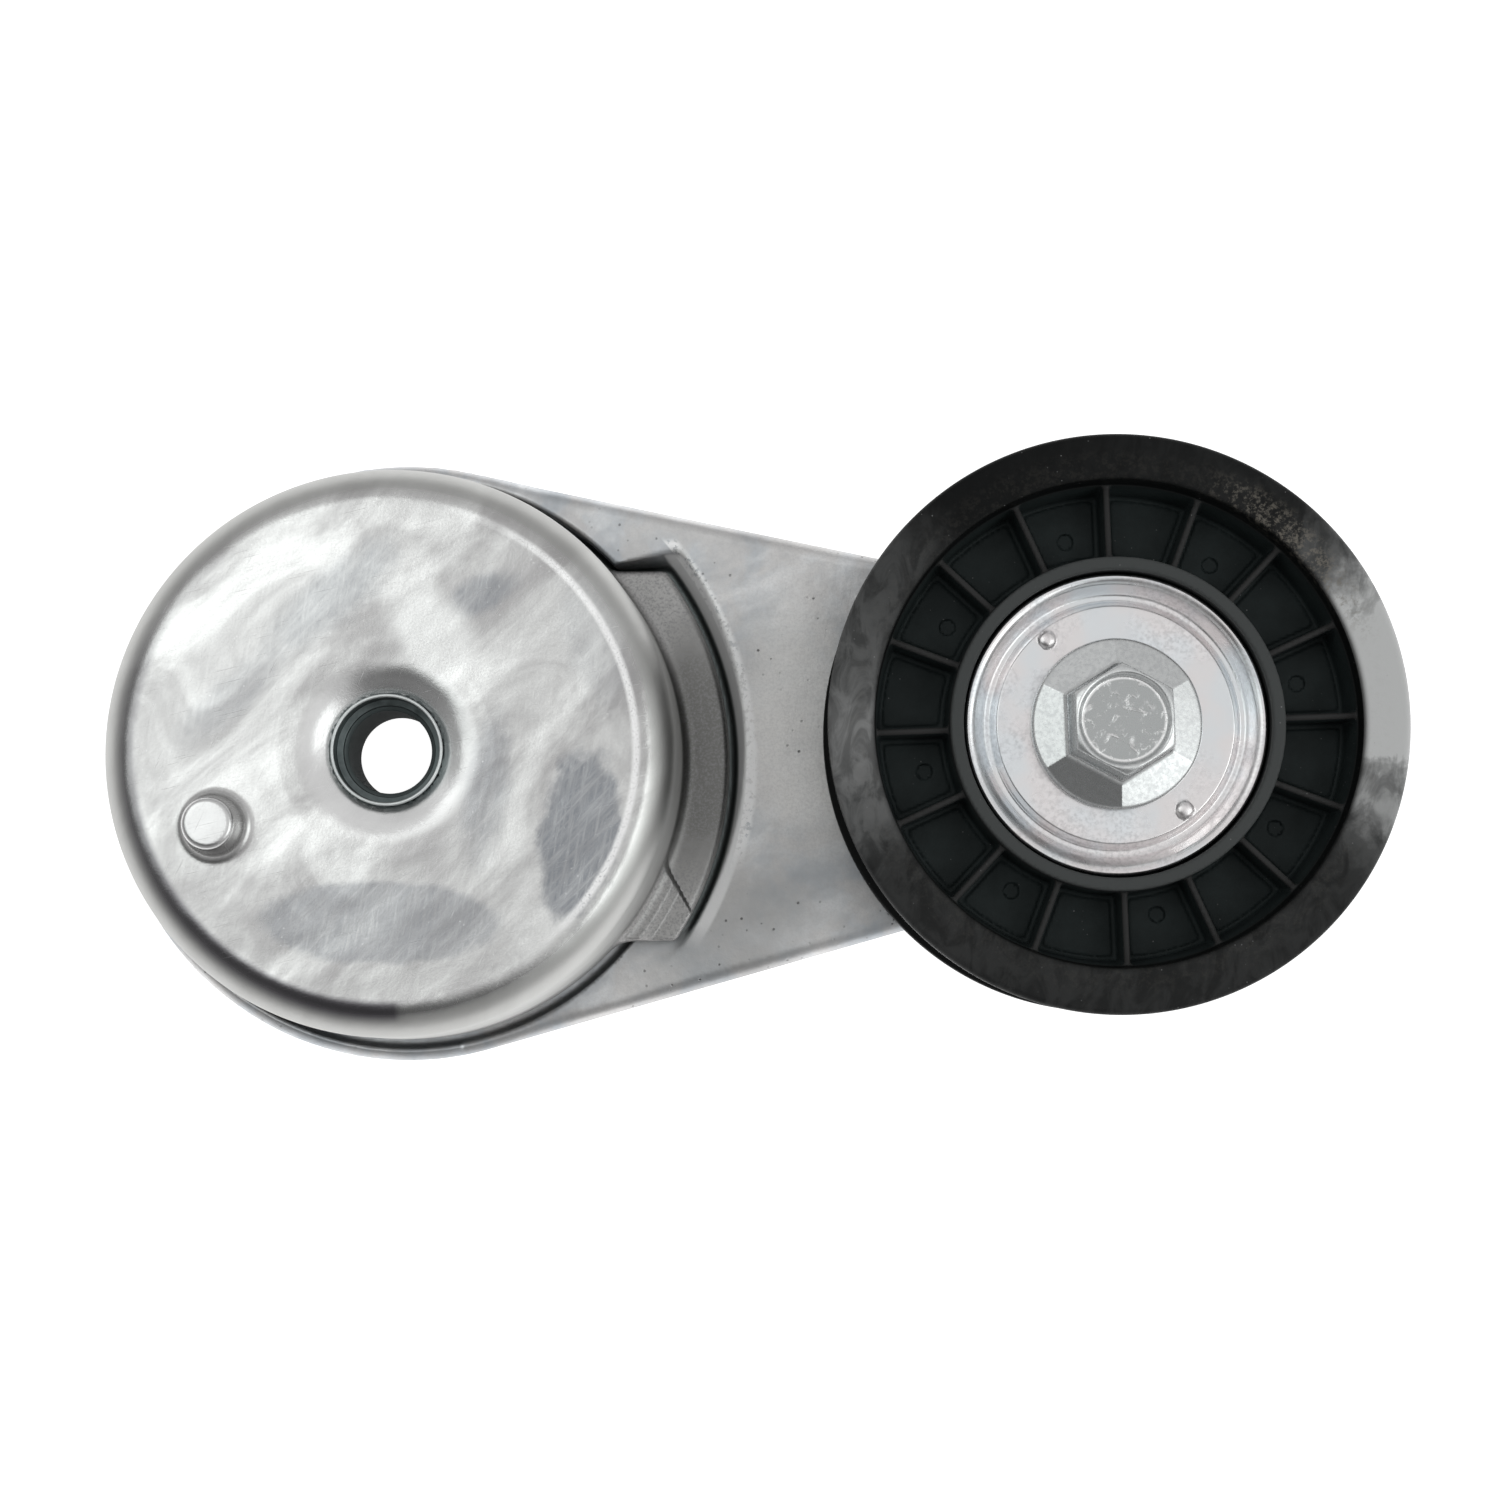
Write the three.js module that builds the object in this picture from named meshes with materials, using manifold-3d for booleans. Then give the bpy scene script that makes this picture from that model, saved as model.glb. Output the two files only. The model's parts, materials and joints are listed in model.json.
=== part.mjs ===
// Belt tensioner with an idler pulley, as used on an engine's accessory drive.
// Units are millimetres and +Z is up. The origin is on the pivot axis at the mounting face,
// +X runs from the pivot axis to the pulley axis, and the engine is on the +Z side.
import * as THREE from 'three';
import { mergeVertices } from 'three/addons/utils/BufferGeometryUtils.js';
import Module from 'manifold-3d';

const wasm = await Module();
wasm.setup();

// ---------------------------------------------------------------- driving dimensions
const GAP = 0.3; // between pieces that touch
const LARGE_SEGMENTS = 48; // round the cup, hub and pulley
const SMALL_SEGMENTS = 28; // round the sleeve, bearing and fasteners
const CENTRE_DISTANCE = 100; // pivot axis to pulley axis
const SWING_OFFSET = THREE.MathUtils.degToRad(-2.1); // base features against the arm's direction at rest

// base cup
const CUP_FACE_R = 34.1;
const CUP_EDGE_FILLET = 5;
const CUP_SHOULDER_R = CUP_FACE_R + CUP_EDGE_FILLET;
const CUP_RIM_R = 40.2;
const CUP_RIM_Z = -28.5;
const CUP_WALL = 3.8;
const CUP_FACE_WALL = 5;
const DIMPLE_DEPTH = 1.7;
const DIMPLE_FLOOR_R = 9.3;
const DIMPLE_EDGE_R = 13;
const PIVOT_TUBE_R = 14;
const PIVOT_TUBE_END_Z = -48.1;
const BOLT_RECESS_R = 11;
const BOLT_RECESS_Z = -16.6;

// stop tab and its stepped lug, on the cup's rim
const TAB_R = 46.7;
const TAB_TOP_Z = -26;
const TAB_BOTTOM_Z = -28.4;
const TAB_UPPER_Y = 28;
const TAB_LOWER_Y = -25.9;
const LUG_START = THREE.MathUtils.degToRad(-23);
const LUG_LEDGE_R = 42.7;
const LUG_LEDGE_RISE = 1.5;
const LUG_FLAT_RISE = 0.5;

// locating pin
const PIN_R = 3.9;
const PIN_HEIGHT = 6.3;
const PIN_X = -23.25;
const PIN_Y = -10.3;

// steel sleeve in the base
const SLEEVE_R = 7.65;
const SLEEVE_MOUTH_R = 7.25;
const SLEEVE_STEP_R = 6.3;
const SLEEVE_BORE_R = 5.75;
const SLEEVE_END_Z = -18.4;
const SLEEVE_FLANGE_R = 10.6;

// arm
const ARM_HUB_R = 43.3;
const ARM_HUB_MOUTH_R = 41.5;
const ARM_MOUTH_FLOOR_Z = -30;
const ARM_CHAMBER_R = 38;
const ARM_BOTTOM_Z = -49;
const ARM_FLOOR_Z = -44.5;
const ARM_RECESS_R = 25;
const ARM_RECESS_Z = -43.6;
const ARM_HUB_TUBE_BORE_R = 16.6;
const ARM_HUB_TUBE_R = 20.2;
const ARM_HUB_TUBE_TOP_Z = -22;
const ARM_END_R = 19.4;
const ARM_TOP_Z = -27.3; // on the axis line; the top face leans up towards +Y
const ARM_TOP_SLOPE = 0.05;
const ARM_BACK_Z = -41;
const ARM_SKIN = 4;
const POCKET_FLOOR_Z = -29.2;
const POCKET_R = 47.9;
const BOSS_R = 13;
const BOSS_TOP_Z = -18.9;
const DRIVE_SQUARE = 9.8; // 3/8 inch wrench drive
const DRIVE_X = 62;
const DRIVE_DEPTH = 9.5;
const DRIVE_BOSS_R = 10.5;

// inner parts at the pivot
const BUSHING_R = 16.3;
const SPRING_R = 29.5;
const SPRING_WIRE_R = 2.7;
const SPRING_TURNS = 5;
const SPRING_TOP_Z = -8.4;
const SPRING_END_Z = -41.2;

// pulley
const PULLEY_FLANGE_R = 39.7;
const PULLEY_BELT_R = 38;
const PULLEY_FRONT_Z = 2;
const PULLEY_REAR_Z = -24.5;
const PULLEY_RIM_BORE_R = 33.4;
const PULLEY_HUB_R = 23;
const WEB_FRONT_Z = -8;
const WEB_REAR_Z = -12;
const HUB_FRONT_Z = 0.5;
const HUB_REAR_Z = -19;
const RIB_COUNT = 16;
const RIB_THICKNESS = 1.2;
const FRONT_RIB_TOP_Z = -1.6;
const REAR_RIB_TOP_Z = -20.5;

// ball bearing, 17 x 40 x 12
const BEARING_BORE_R = 8.5;
const BEARING_R = 20;
const BEARING_WIDTH = 12;
const BEARING_FRONT_Z = -5.3;
const BEARING_MID_Z = BEARING_FRONT_Z - BEARING_WIDTH / 2;
const BEARING_REAR_Z = BEARING_FRONT_Z - BEARING_WIDTH;
const BALL_R = 3.375;
const BALL_COUNT = 8;
const BALL_PITCH_R = 14.25;
const INNER_LAND_R = 11.6;
const OUTER_LAND_R = 17.3;
const CAGE_HALF_HEIGHT = 4.3;

// pulley bolt and dust cover
const COVER_R = 20.7;
const COVER_TOP_Z = -2.6;
const BOLT_SEAT_Z = COVER_TOP_Z + GAP;
const BOLT_FLANGE_R = 11.8;
const BOLT_HEAD_TOP_Z = 7.5;
const BOLT_HEX_ACROSS_FLATS = 13.4;
const BOLT_DISH_R = 5.9;
const BOLT_DISH_DEPTH = 0.7;
const BOLT_SHANK_R = 5;
const BOLT_END_Z = -40;

// ---------------------------------------------------------------- materials
const castAluminium = { color: 0xbab6b1, roughness: 0.35, metalness: 1 };
const zincSteel = { color: 0xcfcfd0, roughness: 0.28, metalness: 1 };
const bearingSteel = { color: 0xb4b6ba, roughness: 0.2, metalness: 1 };
const springSteel = { color: 0x4a4c50, roughness: 0.45, metalness: 1 };
const blackNylon = { color: 0x1c1c1e, roughness: 0.5, metalness: 0 };
const whiteNylon = { color: 0xd8d4c6, roughness: 0.55, metalness: 0 };
const sealRubber = { color: 0x17181a, roughness: 0.7, metalness: 0 };

// ---------------------------------------------------------------- solids
function signedVolume(position, index) {
  const a = new THREE.Vector3();
  const b = new THREE.Vector3();
  const c = new THREE.Vector3();
  let volume = 0;
  for (let i = 0; i < index.length; i += 3) {
    a.fromBufferAttribute(position, index[i]);
    b.fromBufferAttribute(position, index[i + 1]);
    c.fromBufferAttribute(position, index[i + 2]);
    volume += a.dot(b.cross(c)) / 6;
  }
  return volume;
}

// A closed three.js geometry as a manifold solid with its faces pointing out.
function solid(geometry) {
  geometry.deleteAttribute('normal');
  geometry.deleteAttribute('uv');
  const merged = mergeVertices(geometry, 1e-4);
  const { position } = merged.attributes;
  const index = [];
  for (let i = 0; i < merged.index.count; i += 3) {
    const [a, b, c] = [0, 1, 2].map((k) => merged.index.getX(i + k));
    if (a !== b && b !== c && c !== a) index.push(a, b, c);
  }
  if (signedVolume(position, index) < 0) index.reverse();
  return new wasm.Manifold(new wasm.Mesh({
    numProp: 3,
    vertProperties: new Float32Array(position.array),
    triVerts: new Uint32Array(index),
  }));
}

// Turns a profile of [radius, z] points about the Z axis. A profile off the axis closes on itself.
function lathe(profile, segments) {
  const points = profile.map(([r, z]) => new THREE.Vector2(r, z));
  const onAxis = profile[0][0] === 0 && profile.at(-1)[0] === 0;
  if (!onAxis) points.push(points[0].clone());
  return solid(new THREE.LatheGeometry(points, segments).rotateX(Math.PI / 2));
}

function ring(inner, outer, lowZ, highZ, segments) {
  return lathe([[inner, lowZ], [outer, lowZ], [outer, highZ], [inner, highZ]], segments);
}

function disc(radius, lowZ, highZ, segments) {
  return lathe([[0, lowZ], [radius, lowZ], [radius, highZ], [0, highZ]], segments);
}

function prism(shape, lowZ, highZ, curveSegments = 24) {
  const options = { depth: highZ - lowZ, bevelEnabled: false, curveSegments };
  return solid(new THREE.ExtrudeGeometry(shape, options).translate(0, 0, lowZ));
}

function box(sizeX, sizeY, lowZ, highZ) {
  return solid(new THREE.BoxGeometry(sizeX, sizeY, highZ - lowZ).translate(0, 0, (lowZ + highZ) / 2));
}

// Points on an arc about a centre in an [r, z] profile.
function arc(centreR, centreZ, radius, startDegrees, endDegrees, steps) {
  return Array.from({ length: steps + 1 }, (_, i) => {
    const angle = THREE.MathUtils.degToRad(startDegrees + ((endDegrees - startDegrees) * i) / steps);
    return [centreR + radius * Math.cos(angle), centreZ + radius * Math.sin(angle)];
  });
}

// Outline round two circles and their common tangents: one at the pivot, one at the pulley axis.
function taperOutline(hubR, endR) {
  const tangent = Math.acos((hubR - endR) / CENTRE_DISTANCE);
  const shape = new THREE.Shape();
  shape.absarc(0, 0, hubR, tangent, 2 * Math.PI - tangent, false);
  shape.absarc(CENTRE_DISTANCE, 0, endR, -tangent, tangent, false);
  return shape;
}

function turned(manifold, radians) {
  return manifold.rotate([0, 0, THREE.MathUtils.radToDeg(radians)]);
}

// ---------------------------------------------------------------- pieces of the base
function baseCup() {
  const innerR = CUP_SHOULDER_R - CUP_WALL;
  const profile = [
    [SLEEVE_R + GAP, -DIMPLE_DEPTH],
    [DIMPLE_FLOOR_R, -DIMPLE_DEPTH],
    [(DIMPLE_FLOOR_R + DIMPLE_EDGE_R) / 2, -DIMPLE_DEPTH / 2],
    [DIMPLE_EDGE_R, 0],
    ...arc(CUP_FACE_R, -CUP_EDGE_FILLET, CUP_EDGE_FILLET, 90, 0, 5),
    [CUP_RIM_R, CUP_RIM_Z],
    [CUP_RIM_R - CUP_WALL, CUP_RIM_Z],
    [innerR, -CUP_FACE_WALL - 4],
    [innerR - 3, -CUP_FACE_WALL],
    [SLEEVE_R + GAP, -CUP_FACE_WALL],
  ];
  return lathe(profile, LARGE_SEGMENTS).add(stopTab()).add(locatingPin());
}

function stopTab() {
  const inner = CUP_RIM_R - 2;
  const tab = new THREE.Shape();
  tab.moveTo(inner * Math.cos(Math.asin(TAB_LOWER_Y / inner)), TAB_LOWER_Y);
  tab.absarc(0, 0, TAB_R, Math.asin(TAB_LOWER_Y / TAB_R), Math.asin(TAB_UPPER_Y / TAB_R), false);
  tab.lineTo(inner * Math.cos(Math.asin(TAB_UPPER_Y / inner)), TAB_UPPER_Y);
  tab.absarc(0, 0, inner, Math.asin(TAB_UPPER_Y / inner), Math.asin(TAB_LOWER_Y / inner), true);
  const plate = prism(tab, TAB_BOTTOM_Z, TAB_TOP_Z);
  const ledge = lugStep(inner, LUG_LEDGE_R, LUG_LEDGE_RISE);
  const flat = lugStep(inner, TAB_R, LUG_FLAT_RISE);
  return turned(plate.add(ledge).add(flat), SWING_OFFSET);
}

// One step of the lug: from its start angle down to the tab's lower edge.
function lugStep(innerR, outerR, rise) {
  const step = new THREE.Shape();
  const endAngle = Math.asin(TAB_LOWER_Y / outerR);
  step.moveTo(innerR * Math.cos(LUG_START), innerR * Math.sin(LUG_START));
  step.absarc(0, 0, innerR, LUG_START, Math.asin(TAB_LOWER_Y / innerR), true);
  step.absarc(0, 0, outerR, endAngle, LUG_START - 0.06, false);
  return prism(step, TAB_BOTTOM_Z, TAB_TOP_Z + rise, 8);
}

function locatingPin() {
  const profile = [
    [0, -1],
    [PIN_R + 1, -1],
    [PIN_R + 1, 0],
    [PIN_R, 0.9],
    [PIN_R - 0.3, PIN_HEIGHT - 0.9],
    [PIN_R - 1.2, PIN_HEIGHT],
    [0, PIN_HEIGHT],
  ];
  return turned(lathe(profile, 20).translate([PIN_X, PIN_Y, 0]), SWING_OFFSET);
}

// The steel tube that the arm turns on, its lower end swaged over the retaining plate.
function pivotTube() {
  const top = -CUP_FACE_WALL - GAP;
  return lathe([
    [SLEEVE_R + GAP, top],
    [PIVOT_TUBE_R + 2.5, top],
    [PIVOT_TUBE_R + 2.5, top - 2.2],
    [PIVOT_TUBE_R, top - 2.2],
    [PIVOT_TUBE_R, PIVOT_TUBE_END_Z + 1.2],
    [PIVOT_TUBE_R + 1.6, PIVOT_TUBE_END_Z + 1.2],
    [PIVOT_TUBE_R + 1, PIVOT_TUBE_END_Z],
    [BOLT_RECESS_R, PIVOT_TUBE_END_Z],
    [BOLT_RECESS_R, BOLT_RECESS_Z],
    [SLEEVE_R + GAP, BOLT_RECESS_Z],
  ], SMALL_SEGMENTS);
}

function pivotSleeve() {
  return lathe([
    [SLEEVE_MOUTH_R, 0],
    [SLEEVE_R, 0],
    [SLEEVE_R, BOLT_RECESS_Z - GAP],
    [SLEEVE_FLANGE_R, BOLT_RECESS_Z - GAP],
    [SLEEVE_FLANGE_R, SLEEVE_END_Z],
    [SLEEVE_BORE_R, SLEEVE_END_Z],
    [SLEEVE_BORE_R, -4.4],
    [SLEEVE_STEP_R, -4.2],
    [SLEEVE_STEP_R, -3.6],
    [SLEEVE_MOUTH_R, -3.4],
  ], SMALL_SEGMENTS);
}

class Helix extends THREE.Curve {
  getPoint(t, target = new THREE.Vector3()) {
    const angle = 2 * Math.PI * SPRING_TURNS * t;
    const z = THREE.MathUtils.lerp(SPRING_TOP_Z, SPRING_END_Z, t);
    return target.set(SPRING_R * Math.cos(angle), SPRING_R * Math.sin(angle), z);
  }
}

function torsionSpring() {
  const section = new THREE.Shape();
  section.absarc(0, 0, SPRING_WIRE_R, 0, 2 * Math.PI, false);
  const options = { steps: SPRING_TURNS * 16, extrudePath: new Helix(), curveSegments: 4 };
  return solid(new THREE.ExtrudeGeometry(section, options));
}

function damperShoe() {
  const outerR = CUP_SHOULDER_R - CUP_WALL - GAP;
  const innerR = SPRING_R + SPRING_WIRE_R + GAP;
  const shoe = new THREE.Shape();
  shoe.absarc(0, 0, outerR, -0.9 * Math.PI, 0.2 * Math.PI, false);
  shoe.absarc(0, 0, innerR, 0.2 * Math.PI, -0.9 * Math.PI, true);
  return prism(shoe, -26, -12, 20);
}

// ---------------------------------------------------------------- pieces of the arm
function armHub() {
  return lathe([
    [ARM_HUB_TUBE_BORE_R, ARM_HUB_TUBE_TOP_Z],
    [ARM_HUB_TUBE_R, ARM_HUB_TUBE_TOP_Z],
    [ARM_HUB_TUBE_R, ARM_RECESS_Z + ARM_SKIN],
    [ARM_RECESS_R, ARM_RECESS_Z + ARM_SKIN],
    [ARM_RECESS_R + 1.5, ARM_FLOOR_Z],
    [ARM_CHAMBER_R - 2, ARM_FLOOR_Z],
    [ARM_CHAMBER_R, ARM_FLOOR_Z + 2],
    [ARM_CHAMBER_R, ARM_MOUTH_FLOOR_Z],
    [ARM_HUB_MOUTH_R, ARM_MOUTH_FLOOR_Z],
    [ARM_HUB_MOUTH_R, -20],
    [ARM_HUB_R, -20],
    [ARM_HUB_R, ARM_BOTTOM_Z + 3],
    [ARM_HUB_R - 0.9, ARM_BOTTOM_Z + 0.9],
    [ARM_HUB_R - 3, ARM_BOTTOM_Z],
    [ARM_RECESS_R, ARM_BOTTOM_Z],
    [ARM_RECESS_R, ARM_RECESS_Z],
    [ARM_HUB_TUBE_BORE_R, ARM_RECESS_Z],
  ], LARGE_SEGMENTS);
}

function stopPocket() {
  const wall = [new THREE.Vector2(30.1, 28.5), new THREE.Vector2(37.4, 30.1)];
  const pocket = new THREE.Shape();
  pocket.moveTo(24, wall[0].y - 1.5);
  pocket.lineTo(wall[0].x, wall[0].y);
  pocket.lineTo(wall[1].x, wall[1].y);
  pocket.absarc(0, 0, POCKET_R, wall[1].angle(), THREE.MathUtils.degToRad(-64), true);
  pocket.lineTo(12, -34);
  return turned(prism(pocket, POCKET_FLOOR_Z, -15), SWING_OFFSET);
}

// Hollows in the back of the arm, either side of a middle rib and clear of the hub and both bosses.
function backHollows() {
  const outline = taperOutline(ARM_HUB_R - ARM_SKIN, ARM_END_R - ARM_SKIN);
  const hollow = prism(outline, ARM_BACK_Z - 10, ARM_BACK_Z + 8);
  return hollow
    .subtract(disc(ARM_HUB_R + 2, ARM_BACK_Z - 11, -20, LARGE_SEGMENTS))
    .subtract(disc(BOSS_R + 1, ARM_BACK_Z - 11, -20, SMALL_SEGMENTS).translate([CENTRE_DISTANCE, 0, 0]))
    .subtract(disc(DRIVE_BOSS_R, ARM_BACK_Z - 11, -20, SMALL_SEGMENTS).translate([DRIVE_X, 0, 0]))
    .subtract(box(2 * CENTRE_DISTANCE, 3, ARM_BACK_Z - 11, -20).translate([CENTRE_DISTANCE, 0, 0]));
}

function tensionerArm() {
  const chamber = disc(ARM_HUB_R - 0.5, ARM_BOTTOM_Z - 1, 0, LARGE_SEGMENTS);
  const plate = prism(taperOutline(ARM_HUB_R, ARM_END_R), ARM_BACK_Z, -20, 20).subtract(chamber);
  const boltHole = disc(BOLT_SHANK_R + GAP, ARM_BOTTOM_Z, 0, SMALL_SEGMENTS)
    .translate([CENTRE_DISTANCE, 0, 0]);
  const boss = lathe([
    [0, ARM_BACK_Z],
    [BOSS_R + 1, ARM_BACK_Z],
    [BOSS_R + 1, ARM_TOP_Z + 2],
    [BOSS_R, ARM_TOP_Z + 3.5],
    [BOSS_R, BOSS_TOP_Z - 0.6],
    [BOSS_R - 0.6, BOSS_TOP_Z],
    [0, BOSS_TOP_Z],
  ], SMALL_SEGMENTS).translate([CENTRE_DISTANCE, 0, 0]);
  const drive = box(DRIVE_SQUARE, DRIVE_SQUARE, ARM_BACK_Z - 1, ARM_BACK_Z + DRIVE_DEPTH)
    .translate([DRIVE_X, 0, 0]);
  const slope = THREE.MathUtils.radToDeg(Math.atan(ARM_TOP_SLOPE));
  const aboveTop = box(400, 200, 0, 30).rotate([slope, 0, 0]).translate([0, 0, ARM_TOP_Z]);
  const hubTube = ring(ARM_HUB_TUBE_BORE_R, ARM_HUB_TUBE_R, -30, ARM_HUB_TUBE_TOP_Z, LARGE_SEGMENTS);
  return armHub()
    .add(plate)
    .subtract(aboveTop)
    .add(hubTube)
    .subtract(stopPocket().subtract(disc(ARM_HUB_MOUTH_R - 1, -40, 0, LARGE_SEGMENTS)))
    .subtract(backHollows())
    .add(boss)
    .subtract(boltHole)
    .subtract(drive);
}

function pulleyBolt() {
  const hex = new THREE.Shape();
  const cornerR = BOLT_HEX_ACROSS_FLATS / Math.sqrt(3);
  for (let i = 0; i < 6; i += 1) {
    const angle = Math.PI / 2 + (i * Math.PI) / 3;
    hex[i === 0 ? 'moveTo' : 'lineTo'](cornerR * Math.cos(angle), cornerR * Math.sin(angle));
  }
  const chamfer = lathe([
    [0, BOLT_SEAT_Z],
    [cornerR + 0.5, BOLT_SEAT_Z],
    [cornerR + 0.5, BOLT_HEAD_TOP_Z - 0.9],
    [BOLT_HEX_ACROSS_FLATS / 2 - 0.05, BOLT_HEAD_TOP_Z],
    [0, BOLT_HEAD_TOP_Z],
  ], SMALL_SEGMENTS);
  const flange = lathe([
    [0, BOLT_SEAT_Z],
    [BOLT_FLANGE_R, BOLT_SEAT_Z],
    [BOLT_FLANGE_R, BOLT_SEAT_Z + 1],
    [cornerR, BOLT_SEAT_Z + 3.1],
    [0, BOLT_SEAT_Z + 3.1],
  ], SMALL_SEGMENTS);
  const shank = disc(BOLT_SHANK_R, BOLT_END_Z, BOLT_SEAT_Z + 1, SMALL_SEGMENTS);
  const dish = disc(BOLT_DISH_R, BOLT_HEAD_TOP_Z - BOLT_DISH_DEPTH, BOLT_HEAD_TOP_Z + 1, SMALL_SEGMENTS);
  const head = prism(hex, BOLT_SEAT_Z, BOLT_HEAD_TOP_Z).intersect(chamfer).subtract(dish);
  return head.add(flange).add(shank);
}

function frontDustCover() {
  const z = COVER_TOP_Z;
  return lathe([
    [BOLT_SHANK_R + GAP, z],
    [15.9, z],
    [16.5, z - 0.2],
    [17.4, z - 1.3],
    [18.2, z - 1.3],
    [19.2, z + 1],
    [20.1, z + 1.4],
    [COVER_R, z + 0.8],
    [COVER_R, z + 0.1],
    [19.7, z + 0.2],
    [18.7, z - 2.1],
    [17, z - 2.1],
    [15.9, z - 0.9],
    [BOLT_SHANK_R + GAP, z - 0.9],
  ], SMALL_SEGMENTS);
}

function rearDustShield() {
  const top = BEARING_REAR_Z - GAP;
  const bottom = BOSS_TOP_Z + GAP;
  return lathe([
    [BOLT_SHANK_R + GAP, bottom],
    [18.9, bottom],
    [18.9, top - 0.1],
    [18.2, top - 0.1],
    [17.6, top - 0.4],
    [INNER_LAND_R, top - 0.4],
    [10.8, top],
    [BOLT_SHANK_R + GAP, top],
  ], SMALL_SEGMENTS);
}

function bearingSpacer() {
  return lathe([
    [BOLT_SHANK_R + GAP, BEARING_REAR_Z],
    [BEARING_BORE_R - GAP, BEARING_REAR_Z],
    [BEARING_BORE_R - GAP, BEARING_FRONT_Z + GAP],
    [INNER_LAND_R - 0.6, BEARING_FRONT_Z + GAP],
    [INNER_LAND_R - 0.6, COVER_TOP_Z - 0.9 - GAP],
    [BOLT_SHANK_R + GAP, COVER_TOP_Z - 0.9 - GAP],
  ], SMALL_SEGMENTS);
}

// ---------------------------------------------------------------- pieces of the pulley and bearing
function pulleyWheel() {
  const rearLipR = BEARING_R - 0.4;
  const wheel = lathe([
    [PULLEY_RIM_BORE_R, PULLEY_FRONT_Z],
    [PULLEY_FLANGE_R - 0.6, PULLEY_FRONT_Z],
    [PULLEY_FLANGE_R, PULLEY_FRONT_Z - 0.6],
    [PULLEY_FLANGE_R, PULLEY_FRONT_Z - 2.4],
    [PULLEY_BELT_R, PULLEY_FRONT_Z - 3.4],
    [PULLEY_BELT_R, PULLEY_REAR_Z + 3.4],
    [PULLEY_FLANGE_R, PULLEY_REAR_Z + 2.4],
    [PULLEY_FLANGE_R, PULLEY_REAR_Z],
    [PULLEY_RIM_BORE_R, PULLEY_REAR_Z],
    [PULLEY_RIM_BORE_R - 1, WEB_REAR_Z],
    [PULLEY_HUB_R + 0.2, WEB_REAR_Z],
    [PULLEY_HUB_R - 0.2, HUB_REAR_Z],
    [rearLipR, HUB_REAR_Z],
    [rearLipR, BEARING_REAR_Z - GAP],
    [BEARING_R + GAP, BEARING_REAR_Z - GAP],
    [BEARING_R + GAP, BEARING_FRONT_Z + GAP],
    [COVER_R + 0.5, BEARING_FRONT_Z + GAP],
    [COVER_R + 0.5, HUB_FRONT_Z],
    [PULLEY_HUB_R - 0.2, HUB_FRONT_Z],
    [PULLEY_HUB_R + 0.2, WEB_FRONT_Z],
    [PULLEY_RIM_BORE_R - 1, WEB_FRONT_Z],
  ], LARGE_SEGMENTS);
  const length = PULLEY_RIM_BORE_R - PULLEY_HUB_R + 0.4;
  const middle = (PULLEY_RIM_BORE_R + PULLEY_HUB_R) / 2;
  const frontRib = box(length, RIB_THICKNESS, WEB_FRONT_Z - 1, FRONT_RIB_TOP_Z).translate([middle, 0, 0]);
  const rearRib = box(length, RIB_THICKNESS, REAR_RIB_TOP_Z, WEB_REAR_Z + 1).translate([middle, 0, 0]);
  const rearHubEnd = ring(
    PULLEY_HUB_R - 3, PULLEY_HUB_R + 4, REAR_RIB_TOP_Z - 1, HUB_REAR_Z, LARGE_SEGMENTS,
  );
  const pair = frontRib.add(rearRib.subtract(rearHubEnd));
  let ribs = pair;
  for (let i = 1; i < RIB_COUNT; i += 1) {
    ribs = ribs.add(turned(pair, (2 * Math.PI * i) / RIB_COUNT));
  }
  return wheel.add(ribs);
}

function bearingInnerRing() {
  const groove = BALL_R + 0.28;
  const grooveDegrees = THREE.MathUtils.radToDeg(Math.acos((BALL_PITCH_R - INNER_LAND_R) / groove));
  return lathe([
    [BEARING_BORE_R, BEARING_FRONT_Z],
    [BEARING_BORE_R, BEARING_REAR_Z],
    [INNER_LAND_R, BEARING_REAR_Z],
    ...arc(BALL_PITCH_R, BEARING_MID_Z, groove, 180 + grooveDegrees, 180 - grooveDegrees, 5),
    [INNER_LAND_R, BEARING_FRONT_Z],
  ], SMALL_SEGMENTS);
}

function bearingOuterRing() {
  const groove = BALL_R + 0.28;
  const grooveDegrees = THREE.MathUtils.radToDeg(Math.acos((OUTER_LAND_R - BALL_PITCH_R) / groove));
  return lathe([
    [BEARING_R, BEARING_REAR_Z],
    [BEARING_R, BEARING_FRONT_Z],
    [OUTER_LAND_R, BEARING_FRONT_Z],
    ...arc(BALL_PITCH_R, BEARING_MID_Z, groove, grooveDegrees, -grooveDegrees, 5),
    [OUTER_LAND_R, BEARING_REAR_Z],
  ], SMALL_SEGMENTS);
}

function bearingSeal(outerFaceZ, inward) {
  const [lowZ, highZ] = [outerFaceZ + inward * 1.1, outerFaceZ + inward * GAP].sort((a, b) => a - b);
  return ring(INNER_LAND_R + GAP, OUTER_LAND_R - GAP, lowZ, highZ, SMALL_SEGMENTS);
}

function ballPlace(i) {
  const angle = (2 * Math.PI * (i + 0.5)) / BALL_COUNT;
  return [BALL_PITCH_R * Math.cos(angle), BALL_PITCH_R * Math.sin(angle), BEARING_MID_Z];
}

function bearingBall(i) {
  return solid(new THREE.SphereGeometry(BALL_R, 10, 6)).translate(ballPlace(i));
}

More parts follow.
